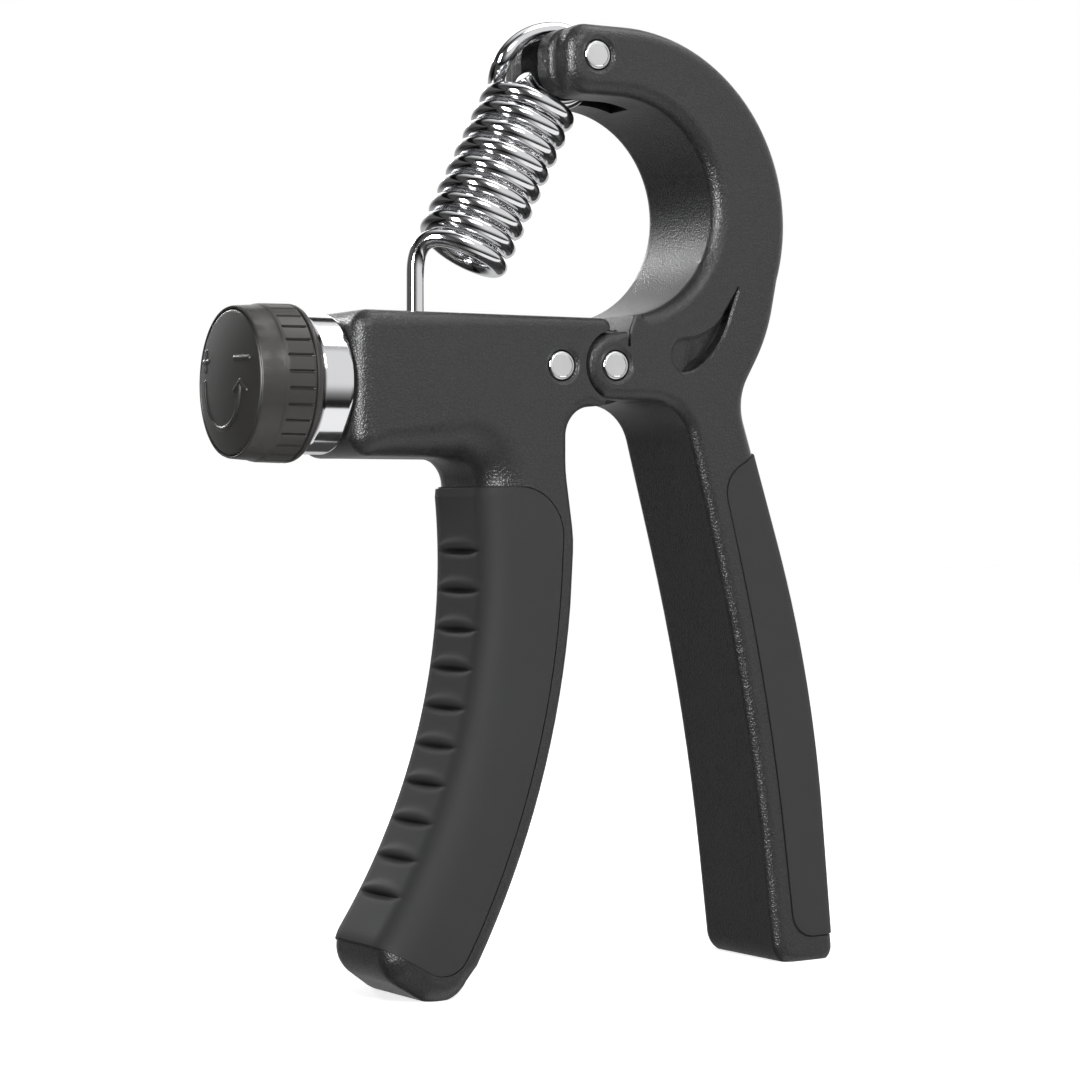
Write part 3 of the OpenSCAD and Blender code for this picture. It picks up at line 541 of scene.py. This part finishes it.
def ribbed(grid):
    # the surface moves along the line to the finger centre by lens * (lip - groove)
    lens, groove, lip = ribShape(grid[..., 0], grid[..., 1], grid[..., 2])
    push = lens * (ribs["lip"] * lip - ribs["deep"] * groove)
    away = -unit(grid[..., ::2] - fingerCentre)
    made = grid.copy()
    made[..., ::2] += away * push[..., None]
    return made


def markPaintedShade(piece, measure):
    # how deep each point of the piece lies in a recess, from 0 to 1, for the painted shade in its finish
    points = np.empty(len(piece.data.vertices) * 3, np.float32)
    piece.data.vertices.foreach_get("co", points)
    recess = piece.data.attributes.new("recess", "FLOAT", "POINT")
    recess.data.foreach_set("value", measure(*released(points).T).astype(np.float32))


def buildFront():
    grip = {"radius": shape["fingerEdge"] + 0.4, "flat": 6, "bend": 9, "face": 34}
    handle = slab("frontHandleBody", frontLine(), shape["halfWidth"])
    tongue = turned("tongue", [[-tongueHalf, ears["tongue"]], [tongueHalf, ears["tongue"]]], (0, 0))
    carve(handle, [tongue], "UNION")
    far, axis, slotTop = shape["halfWidth"] + 1, barrel["axis"], barrel["top"] + 2
    recess = ears["recess"]
    cuts = [turned("ear", [[side * tongueHalf, recess], [side * far, recess]], (0, 0)) for side in (-1, 1)]
    bore, slotHalf = barrel["bore"], barrel["slotHalf"]
    cuts += [turned("bore", [[-barrel["reach"] - 1, bore], [barrel["boreEnd"], bore]], (0, axis), False),
             box("tail", *front["tail"]),
             box("slot", (barrel["slotFrom"], barrel["slotTo"]), (-slotHalf, slotHalf), (axis, slotTop)),
             turned("sleeve", [[-far, pins["sleeve"]], [far, pins["sleeve"]]], (0, 0)), pinHole(pins["bearing"]),
             gripPocket(frontGripLines(0, 60), grip), belowFloor()]
    carve(handle, cuts)
    finish(handle, finishes["body"], "frame", "front_handle")

    rubber = gripRubber("frontGripRubber", frontGripLines(shape["seam"] + 0.15, 340), grip, ribbed)
    # painted shade in the rib grooves, deepest at the middle of each groove
    markPaintedShade(rubber, lambda x, y, z: np.prod(ribShape(x, y, z)[:2], axis=0))
    finish(rubber, finishes["grip"], "frame", "front_grip", 50)


def pinHole(centre):
    # a straight bore whose two mouths open in a short chamfer
    half, radius, chamfer = shape["halfWidth"], pins["radius"] + pins["play"], 0.45
    mouth = radius + pins["rim"] + 0.15
    return turned("pinHole", [[-half - 1, mouth], [-half, mouth], [-half + chamfer, radius],
                              [half - chamfer, radius], [half, mouth], [half + 1, mouth]], centre)


rear = {"armCentre": (1.6, 25.9), "holeRadius": 17.7, "backCentre": (2.5, 24.0), "backRadius": 30.9, "nose": -8.8,
        "kneeIn": (26.4, -55.0), "kneeOut": (38.7, -50.5), "footIn": (31.6, -99.1), "footOut": (43.1, -99.1),
        "waist": (24.2, -5.0), "gripRim": 3.2, "slit": ((2.05, 2.55), (3.1, 6.1)), "fork": ((-30, 0), (-7.5, 5.5)),
        "armSlot": ((-40, 7.3), (-2.7, 2.7), (35.9, 80))}
# the leaf on each side: a shallow bowl and a deep blade that share their outer edge
leaf = {"edge": [[23.5, 13.4], [22.9, 11.7], [22.2, 9.8], [21.3, 7.3], [20.2, 5.0], [18.8, 3.0], [17.2, 1.3],
                 [15.6, 0.1], [14.0, -0.6], [12.7, -0.75]],
        "bowl": [[12.7, -0.75], [11.6, -0.2], [10.8, 0.8], [10.6, 2.1], [11.0, 3.4], [11.9, 4.4], [13.2, 4.75],
                 [14.8, 4.9], [16.8, 5.6], [18.9, 6.8]],
        "ridge": [[18.9, 6.8], [20.0, 8.0], [21.1, 9.7], [22.2, 11.4], [23.5, 13.4]],
        "inside": [[12.7, -0.75], [14.1, 0.7], [15.7, 2.0], [16.8, 3.5], [17.8, 5.1], [18.9, 6.8]],
        "bowlDepth": 0.9, "bladeDepth": 2.4, "flare": 0.35, "bowlShade": 0.35}


def rearLine():
    body, arm, radius = shape["bodyEdge"], shape["armEdge"], ears["radius"]
    hole, back = rear["holeRadius"], rear["backRadius"]
    return rounded(arcPoints((0, 0), radius, 90, 270, body, 4), [13.3, -radius, body, 8], [*rear["kneeIn"], body, 380],
                   [*rear["footIn"], body, 4.2], [*rear["footOut"], body, 2.8], [*rear["kneeOut"], arm, 210],
                   [*rear["waist"], arm, 9], [30.2, 5.6, arm, 30], arcPoints(rear["backCentre"], back, -17, 90, arm),
                   [rear["nose"], rear["backCentre"][1] + back, arm, 4],
                   [rear["nose"], rear["armCentre"][1] + hole, arm, 4.2],
                   arcPoints(rear["armCentre"], hole, 88, -78, arm, 3),
                   arcPoints(rear["armCentre"], hole, -81, -84, 0.6), [2.5, radius, 0.6])


def rearGripLines(inset, count=140):
    kneeX, rim = rear["kneeIn"][0], rear["gripRim"] + inset
    footX, footZ = rear["footIn"]
    line = rounded([50.1, 1, 0], [kneeX + rim - 9.3, -17.9 - inset, 0, 5], [kneeX + rim, -55, 0, 380],
                   [footX + rim - 0.3, footZ + 4.5 + inset, 0, 4], [51.1, footZ + 4.9 + inset, 0])
    line = line[1:-1, :2]
    seam = resampled(line, np.linspace(0, 1, count))
    seamOut = outwardOf(seam, closed=False)
    topWay, lowWay = unit(np.array([30.3, 18.9])), unit(np.array([16.6, 0.4]))
    ends = (np.array([-topWay[1], topWay[0]]), np.array([lowWay[1], -lowWay[0]]))
    seamOut = -seamOut if seamOut[len(seamOut) // 2, 0] > 0 else seamOut
    seamOut[0], seamOut[-1] = ends
    whole = rearLine()
    grown = whole[:, :2] + outwardOf(whole) * shape["proud"]
    back = grown[(grown[:, 0] > 23) & (grown[:, 1] < 2) & (grown[:, 0] > 23 + (grown[:, 1] + 5) * -0.19)]
    back = resampled(back[np.argsort(-back[:, 1])], np.linspace(0, 1, 900))
    cut = [np.argmin(np.abs((back - seam[k]) @ ends[k])) for k in (0, -1)]
    return resampled(back[cut[0]:cut[1] + 1], np.linspace(0, 1, count)), seam, seamOut, ends


def buildRear():
    grip = {"radius": shape["armEdge"] + 0.5, "flat": 8, "bend": 9, "face": 6}
    handle = slab("rearHandleBody", rearLine(), shape["halfWidth"])
    nose, low = rear["nose"] - 1.0, rear["armCentre"][1] + rear["holeRadius"] + 0.3
    high = rear["backCentre"][1] + rear["backRadius"] - 0.3
    cheek = rounded([nose, low, 1.2, 4], [0, low, 0.5], [0, high, 0.5], [nose, high, 1.2, 4])
    carve(handle, [slab("cheeks", cheek, 6.8, 5)], "UNION")
    half, far = shape["halfWidth"], shape["halfWidth"] + 1
    gap = tongueHalf + ears["gap"]
    slit, fork, throat = rear["slit"], rear["fork"], ears["tongue"] + 0.4
    cuts = [box("slit", slit[0], (-far, far), slit[1]), turned("throat", [[-gap, throat], [gap, throat]], (0, 0)),
            box("fork", fork[0], (-gap, gap), fork[1]), box("armSlot", *rear["armSlot"]),
            pinHole(pins["pivot"]), pinHole(pins["top"])]
    edge, bowl, ridge = bend(leaf["edge"])[:-1], bend(leaf["bowl"])[:-1], bend(leaf["ridge"])[:-1]
    whole = np.vstack((edge, bowl, ridge))
    blade = np.vstack((edge, bend(leaf["inside"] + leaf["ridge"][1:])[:-1]))
    for side in (-1, 1):
        for line, depth in ((whole, leaf["bowlDepth"]), (blade, leaf["bladeDepth"])):
            cutter = prism("leaf", line, -half - 0.6, -half + depth, leaf["flare"], leaf["flare"])
            if side > 0:
                cutter.data.transform(Matrix.Scale(-1, 4, Vector((0, 1, 0))))
                cutter.data.flip_normals()
            cuts.append(cutter)
    cuts += [gripPocket(rearGripLines(0, 60), grip), belowFloor()]
    carve(handle, cuts)

    def paintedShadeAt(x, y, z):
        # painted shade: 1 on the blade's floor and in the slot of the arm, less on the floor of the bowl
        onFloor = (np.abs(y) > half - 2.6) & (np.abs(y) < half - 0.5)
        inSlot = (np.abs(y) < 2.8) & (z > 40) & (x < 7.5)
        return np.maximum(np.maximum(within(blade, x, z), leaf["bowlShade"] * within(whole, x, z)) * onFloor, inSlot)

    markPaintedShade(handle, paintedShadeAt)
    finish(handle, finishes["body"], "rear_handle", "rear_handle")

    rubber = gripRubber("rearGripRubber", rearGripLines(shape["seam"] + 0.15, 200), grip)
    finish(rubber, finishes["grip"], "rear_handle", "rear_grip", 50)


def buildPins():
    # a slightly dished end face, then a rounded edge: rim * (1 - cos a) along the pin, rim * (1 - sin a) inwards
    half, radius, rim, dish = shape["halfWidth"] - pins["sink"], pins["radius"], pins["rim"], pins["dish"]
    turn = np.radians(np.linspace(0, 90, 7))
    edge = np.column_stack((-half + rim * (1 - np.cos(turn)), radius - rim * (1 - np.sin(turn))))
    end = [[-half + dish, 0.6], [-half + dish, radius - rim - 0.14], [-half, radius - rim - 0.06]]
    near = np.vstack((end, edge))
    profile = np.vstack((near, near[::-1] * (-1, 1)))
    for place, body in (("pivot", "rear_handle"), ("top", "top_pin"), ("bearing", "frame")):
        pin = turned(place + "Pin", profile, pins[place])
        finish(pin, finishes["chrome"], body, place + "_pin", 30)
        pin.data.materials.append(finishes["pinFace"])
        across, reach = (readFaces(pin, key)[:, 1] for key in ("normal", "center"))
        flat = (np.abs(across) > 0.9) & (np.abs(reach * 1000) < half)
        pin.data.polygons.foreach_set("material_index", flat.astype(np.int32))


def readFaces(piece, key):
    values = np.empty(len(piece.data.polygons) * 3, np.float32)
    piece.data.polygons.foreach_get(key, values)
    return values.astype(float).reshape(-1, 3)


def buildCollar():
    face, length, radius = -barrel["reach"] - barrel["collar"], barrel["collar"], barrel["collarRadius"]
    back, inside = length + 3, barrel["collarBore"]
    profile = [[0, 6], [0, radius - 0.9], [0.12, radius - 0.55], [0.45, radius - 0.2], [0.9, radius], [1.0, radius],
               [length - 0.8, radius], [length - 0.7, radius], [length - 0.3, radius - 0.15],
               [length - 0.05, radius - 0.5], [length - 0.05, inside], [back, inside], [back, 6]]
    collar = turned("brightCollar", profile, (face, barrel["axis"]), False, 160, ring=True)
    finish(collar, finishes["chrome"], "frame", "barrel_collar", 28)


knob = {"radius": 12.4, "length": 10.1, "flutes": 30, "fluteHalf": 0.2, "fluteDeep": 0.45, "fluteFrom": 4.2,
        "fluteTo": 8.5, "capRadius": 11.3, "capRoll": 0.45, "dome": 1.0, "mark": 0.24}
knob["front"] = -barrel["reach"] - barrel["collar"] - 0.25 - knob["length"]


def buildKnob():
    # the profile, as distance from the front and radius, is spun round the barrel's axis; the flutes are cut into it
    radius, length, cap = knob["radius"], knob["length"], knob["capRadius"]
    outside = np.array([[1.62, cap + 0.08], [0.25, cap + 0.08], [0.05, cap + 0.22], [0.0, cap + 0.4],
                        [0.02, radius - 0.78], [0.12, radius - 0.66], [0.35, radius - 0.56], [2.0, radius - 0.44],
                        [3.5, radius - 0.34], [3.9, radius - 0.22]])
    run = np.linspace(4.0, 8.6, 47)
    fluted = np.column_stack((run, np.interp(run, [4.0, 4.5, 8.6], [radius - 0.16, radius - 0.08, radius])))
    behind = np.array([[8.72, radius - 0.06], [8.8, radius - 0.38], [8.92, radius - 0.42], [9.02, radius - 0.38],
                       [9.1, radius - 0.08], [9.25, radius], [9.7, radius - 0.06], [9.95, radius - 0.2],
                       [length, radius - 0.45], [length, radius - 2.2], [4.6, radius - 2.4], [4.6, 4.2],
                       [length - 0.8, 4.2], [length - 0.8, 2.52], [3.8, 2.52], [3.8, 1.6], [1.62, 1.6]])
    profile = np.vstack((outside, fluted, behind))
    cell = np.array([-0.5, -0.32, -0.2, -0.15, -0.12, -0.09, -0.06, -0.03, 0, 0.03, 0.06, 0.09, 0.12, 0.15, 0.2,
                     0.32])                              # the points round one flute, as shares of its pitch
    spin = ((np.arange(knob["flutes"])[:, None] + 0.5 + cell[None, :]) * 2 * np.pi / knob["flutes"]).ravel()
    sideways = np.tile(cell, knob["flutes"]) * 2 * np.pi * radius / knob["flutes"]
    level = profile[:, 0][:, None]
    past = np.maximum(np.maximum(knob["fluteFrom"] + 0.4 - level, level - knob["fluteTo"]), 0)
    away = np.hypot(sideways[None, :], past) / knob["fluteHalf"]
    # how far a point lies from the middle line of its flute sets the depth
    onBand = (level > 3.9) & (level < 8.8) & (profile[:, 1:2] > radius - 1)
    reach = profile[:, 1][:, None] - knob["fluteDeep"] * np.clip(1.35 - away, 0, 1) ** 0.8 * onBand
    points = np.stack((knob["front"] + level + np.zeros_like(reach), reach * np.cos(spin),
                       barrel["axis"] + reach * np.sin(spin)), -1)
    shell = addPiece("knobShell", points, gridFaces(len(profile), len(spin), loopRows=True, loopColumns=True))
    finish(shell, finishes["knob"], "knob", "knob_shell", 34)


def strokeDistance(u, v, strokes):
    # distance to the nearest of some straight strokes, each from point to point
    best = np.full(u.shape, 1e9)
    for (a, b), (c, d) in strokes:
        share = np.clip(((u - a) * (c - a) + (v - b) * (d - b)) / ((c - a) ** 2 + (d - b) ** 2), 0, 1)
        best = np.minimum(best, np.hypot(u - a - share * (c - a), v - b - share * (d - b)))
    return best


def buildCap():
    # the face is a shallow dome, dome * (1 - (r / cap)^2), with a turning arrow, a dash and a cross raised on it
    marks = {"centre": (-1.6, -0.3), "radius": 6.9, "from": -184.0, "to": -5.0, "half": 0.26,
             "strokes": [((5.3, -0.1), (3.4, -1.5)), ((5.3, -0.1), (7.2, -1.5)), ((3.2, 3.5), (7.9, 3.4)),
                         ((-8.3, 2.0), (-8.3, 5.0)), ((-9.7, 3.5), (-6.9, 3.5))]}
    capRadius, rollWidth = knob["capRadius"], knob["capRoll"]
    inner = capRadius - rollWidth
    ring = np.concatenate((np.linspace(0, inner, 96), inner + rollWidth * np.sin(np.radians(np.linspace(15, 90, 6)))))
    spin = np.linspace(0, 2 * np.pi, 384, endpoint=False)
    u, v = ring[:, None] * np.cos(spin), ring[:, None] * np.sin(spin)
    height = knob["dome"] * (1 - (ring / capRadius) ** 2)
    roll = np.clip((ring - capRadius + rollWidth) / rollWidth, 0, 1)
    height = height - 0.4 * (1 - np.sqrt(1 - roll ** 2 * 0.999))
    arcU, arcV = u - marks["centre"][0], v - marks["centre"][1]
    turn = np.degrees(np.arctan2(arcV, arcU))
    turn = np.where(turn > 90, turn - 360, turn)
    onArc = np.clip(turn, marks["from"], marks["to"])
    away = np.hypot(arcU - marks["radius"] * np.cos(np.radians(onArc)),
                    arcV - marks["radius"] * np.sin(np.radians(onArc)))
    away = np.minimum(away, strokeDistance(u, v, marks["strokes"]))
    raised = knob["mark"] * np.clip(1.6 - away / marks["half"], 0, 1)
    face = np.stack((knob["front"] - height[:, None] - raised, -u, barrel["axis"] + v), -1)
    back = np.array([[1.58, capRadius], [1.58, 3.0], [0.78, 3.0], [0.78, 0.0]])
    tail = np.stack((knob["front"] + back[:, 0][:, None] + np.zeros(len(spin)), -back[:, 1][:, None] * np.cos(spin),
                     barrel["axis"] + back[:, 1][:, None] * np.sin(spin)), -1)
    points = np.concatenate((face, tail))
    cap = addPiece("knobFace", points, gridFaces(len(points), len(spin), loopColumns=True))
    finish(cap, finishes["knob"], "knob", "knob_cap", 60)


# from and short are the turn in degrees at which the coil starts and what its last turn lacks; topTurn is the turn
# at which its axis passes the point top
coil = {"wire": 2.9, "radius": 6.5, "pitch": 3.4, "turns": 9, "top": (-9.96, 42.59), "topTurn": 207, "lean": 27.1,
        "from": 28, "short": 52, "step": 8.0, "loopRadius": 5.8, "loopFrom": 258, "loopTo": 455, "hookRadius": 3.0,
        "hookPin": (-27.75, 4.6), "legTop": 14.6, "cutEnd": (-11.2, -0.6, 46.9), "cutWay": (0.62, 0.1, -0.78),
        "sides": 28}


def coilPoint(angles):
    # a helix down its leaning axis: angle 0 is on the knob side, 90 at the back
    lean, turn = math.radians(coil["lean"]), np.radians(angles)
    down, left = np.array([-math.sin(lean), -math.cos(lean)]), np.array([-math.cos(lean), math.sin(lean)])
    fall = np.outer(coil["pitch"] * (angles - coil["topTurn"]) / 360, down)
    plan = np.array(coil["top"]) + fall + np.outer(coil["radius"] * np.cos(turn), left)
    return np.column_stack((plan[:, 0], coil["radius"] * np.sin(turn), plan[:, 1]))


def ringPoint(centre, radius, angles):
    turn = np.radians(angles)
    return np.column_stack((centre[0] + radius * np.cos(turn), np.zeros(len(turn)), centre[1] + radius * np.sin(turn)))


def join(start, startWay, end, endWay, pull, steps=24):
    # a cubic whose ends follow the given directions for the length of pull
    t = np.linspace(0, 1, steps + 1)[1:-1, None]
    u = 1 - t
    pulled, held = start + startWay * pull, end - endWay * pull
    return start * u ** 3 + pulled * 3 * u * u * t + held * 3 * u * t * t + end * t ** 3


def springPath():
    # the wire's middle line: cut end, loop round the top pin, coil, straight leg and the hook round the hook pin
    loopCentre = (pins["top"][0] - 1.2, pins["top"][1] - 0.5)
    last = coil["turns"] * 360 - coil["short"]
    loop = ringPoint(loopCentre, coil["loopRadius"], np.linspace(coil["loopFrom"], coil["loopTo"], 56))
    turns = coilPoint(np.arange(coil["from"], last + 1, coil["step"]))
    hook = ringPoint(coil["hookPin"], coil["hookRadius"], np.linspace(180, 360, 26))
    legTop = np.array([coil["hookPin"][0] - coil["hookRadius"], 0, coil["legTop"]])
    cutEnd = np.array(coil["cutEnd"])
    firstWay, lastWay = unit(loop[1] - loop[0]), unit(loop[-1] - loop[-2])
    return np.vstack((cutEnd[None], join(cutEnd, unit(coil["cutWay"]), loop[0], firstWay, 2.6, 10), loop,
                      join(loop[-1], lastWay, turns[0], unit(turns[1] - turns[0]), 7.0), turns,
                      join(turns[-1], unit(turns[-1] - turns[-2]), legTop, np.array([0, 0, -1.0]), 4.6), legTop[None],
                      hook, hook[-1:] + np.array([0, 0, 0.9])))


def buildSpring():
    path = springPath()
    along = unit(np.gradient(path, axis=0))
    side = np.empty_like(path)
    carried = np.array([0.0, 1.0, 0.0])
    for i, way in enumerate(along):                      # the wire's sides are carried along without twisting
        carried = unit(carried - way * (carried @ way))
        side[i] = carried
    # a circle of the wire's radius about every point of the path, and two smaller ones before each end
    third = np.cross(along, side)
    radius = coil["wire"] / 2
    endRadius, endOut = (np.array(pair)[:, None, None] for pair in ((0.82, 0.96), (0.22, 0.1)))
    spin = np.linspace(0, 2 * np.pi, coil["sides"], endpoint=False)
    circle = side[:, None] * np.cos(spin)[:, None] + third[:, None] * np.sin(spin)[:, None]
    rings = path[:, None] + radius * circle
    caps = [path[k][None, None] + radius * endRadius * circle[k][None] - sign * along[k] * endOut
            for k, sign in ((0, 1), (-1, -1))]
    points = np.concatenate((caps[0], rings, caps[1][::-1]))
    spring = addPiece("coilSpring", points, tubeFaces(len(points), coil["sides"]))
    finish(spring, finishes["chrome"], None, "spring", 35)
    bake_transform(spring)


def dressInner():
    # the held pieces keep their frame meshes and get this object's finishes
    kept = {"pivot_sleeve": "steel", "mouth_bush": "nylon", "thrust_washer": "brass", "retaining_clip": "steel",
            "lead_screw": "steel", "knob_screw": "steel", "slider_block": "nylon", "slider_nut": "brass",
            "hook_pin": "chrome", "screw_bearing": "nylon"}
    for node, slot in kept.items():
        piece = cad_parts[node]
        piece.data.materials.clear()
        piece.data.materials.append(finishes[slot])


for build in (buildFront, buildRear, buildPins, buildCollar, buildKnob, buildCap, buildSpring, dressInner):
    build()
print("pieces ready")


def buildFloor():
    floorLook = {"size": 4.0, "colour": (0.95, 0.95, 0.95), "lift": 0.74}
    side = np.linspace(-1, 1, 9) * floorLook["size"] / 2
    x, y = np.meshgrid(side, side)
    mesh = bpy.data.meshes.new("floor")
    mesh.from_pydata(np.stack((x, y, np.zeros_like(x)), -1).reshape(-1, 3), [], gridFaces(9, 9))
    floor = bpy.data.objects.new("floor", mesh)
    bpy.context.scene.collection.objects.link(floor)
    floor.visible_glossy = False
    material, tree, shader = newFinish("studioFloor")
    for socket, value in (("Base Color", (*floorLook["colour"], 1)), ("Roughness", 0.9), ("Specular IOR Level", 0.0),
                          ("Emission Color", (1, 1, 1, 1))):
        shader.inputs[socket].default_value = value
    path = tree.nodes.new("ShaderNodeLightPath")
    lift = addNode(tree, "ShaderNodeMath", {1: floorLook["lift"]}, operation="MULTIPLY")
    wire(tree, (path, "Is Camera Ray", lift, 0), (lift, 0, shader, "Emission Strength"))
    mesh.materials.append(material)


def buildWorld():
    # soft ambient light, fuller from the front and back (y squared) than from the sides; mirrors see a studio of
    # pale and dark bands turning about the x axis, each row an angle in degrees and its brightness
    bands = [(-180, 0.55), (-150, 0.62), (-147, 0.06), (-112, 0.06), (-109, 1.0), (-43, 1.0), (-41, 0.02), (-30, 0.02),
             (-18, 0.25), (-6, 0.72), (0, 0.8), (52, 0.8), (60, 0.45), (70, 0.04), (80, 0.02), (83, 0.85), (104, 1.0),
             (119, 0.8), (123, 0.03), (138, 0.03), (143, 1.7), (166, 1.7), (180, 0.8)]
    world = bpy.data.worlds.new("studio")
    world.use_nodes = True
    bpy.context.scene.world = world
    tree = world.node_tree
    tree.nodes.clear()
    coords, split, ramp, path, first, second, out = (tree.nodes.new("ShaderNode" + kind) for kind in (
        "TexCoord", "SeparateXYZ", "ValToRGB", "LightPath", "MixShader", "MixShader", "OutputWorld"))
    flip = addNode(tree, "ShaderNodeMath", {1: -1.0}, operation="MULTIPLY")
    angle = addNode(tree, "ShaderNodeMath", operation="ARCTAN2")
    spread = addNode(tree, "ShaderNodeMapRange", {"From Min": -math.pi, "From Max": math.pi})
    stops = ramp.color_ramp.elements
    for turn, value in bands:
        stop = stops[0] if turn == -180 else stops[-1] if turn == 180 else stops.new((turn + 180) / 360)
        stop.color = (value, value, value, 1)
    pale = addNode(tree, "ShaderNodeBackground", {"Color": (1, 1, 1, 1), "Strength": 1.0})
    ambient = addNode(tree, "ShaderNodeBackground", {"Color": (1, 1, 1, 1)})
    square = addNode(tree, "ShaderNodeMath", operation="MULTIPLY")
    soft = addNode(tree, "ShaderNodeMapRange", {"To Min": 0.08, "To Max": 0.80})
    mirror = addNode(tree, "ShaderNodeBackground", {"Strength": 1.0})
    dim = addNode(tree, "ShaderNodeMapRange", {"From Min": -0.6, "From Max": 0.2, "To Min": 0.06, "To Max": 1.0},
                  interpolation_type="SMOOTHSTEP")
    toned = addNode(tree, "ShaderNodeVectorMath", operation="SCALE")
    wire(tree, (coords, "Generated", split, 0), (split, "Y", flip, 0), (split, "Y", square, 0), (split, "Y", square, 1),
         (square, 0, soft, "Value"), (soft, "Result", ambient, "Strength"), (split, "Z", angle, 0), (flip, 0, angle, 1),
         (angle, 0, spread, "Value"), (spread, "Result", ramp, "Fac"), (split, "X", dim, "Value"),
         (ramp, "Color", toned, 0), (dim, "Result", toned, "Scale"), (toned, 0, mirror, "Color"),
         (path, "Is Glossy Ray", first, "Fac"), (ambient, 0, first, 1), (mirror, 0, first, 2),
         (path, "Is Camera Ray", second, "Fac"), (first, 0, second, 1), (pale, 0, second, 2), (second, 0, out, 0))


def buildLamps():
    # name, place, aim, size, power in W, spread in degrees, whether it lights flat surfaces as well as highlights
    lamps = (("top", (0.42, -0.08, 0.88), (0, 0, 0.08), (0.6, 0.5), 2.4, 180, True),
             ("front", (-0.10, -0.95, 0.75), (0, 0, 0.08), (0.5, 0.4), 5.0, 180, True),
             ("leftStrip", (-0.78, -0.36, 0.31), (0, 0, 0.10), (0.22, 0.5), 14.0, 180, False),
             ("innerArm", (-0.05, 0.62, 0.36), (0.028, 0, 0.114), (0.36, 0.36), 0.085, 10, True))
    for name, place, aim, size, power, spread, full in lamps:
        data = bpy.data.lights.new(name, "AREA")
        data.shape, data.size, data.size_y, data.energy = "RECTANGLE", *size, power
        data.spread = math.radians(spread)
        lamp = bpy.data.objects.new(name, data)
        lamp.visible_diffuse = full
        lamp.location = place
        lamp.rotation_euler = (Vector(aim) - Vector(place)).to_track_quat("-Z", "Y").to_euler()
        bpy.context.scene.collection.objects.link(lamp)


def buildCamera():
    # level in the working frame, 30 degrees to the knob side
    view = {"target": (-7.81, 0.0, -28.16), "azimuth": 30.0, "distance": 512.5, "lens": 104.83, "sensor": 36}
    turn = math.radians(view["azimuth"])
    away = np.array([-math.sin(turn), -math.cos(turn), 0])
    data = bpy.data.cameras.new("camera")
    data.lens, data.sensor_width = view["lens"], view["sensor"]
    camera = bpy.data.objects.new("camera", data)
    bpy.context.scene.collection.objects.link(camera)
    axes = np.column_stack(([math.cos(turn), -math.sin(turn), 0], [0, 0, 1], away))
    place = placed(np.array(view["target"]) + away * view["distance"])[0]
    camera.matrix_world = Matrix.Translation(place) @ (leanTurn @ Matrix(axes.tolist())).to_4x4()
    bpy.context.scene.camera = camera


for build in (buildFloor, buildWorld, buildLamps, buildCamera):
    build()
bpy.context.scene.view_settings.view_transform = "Standard"
print("stage ready")
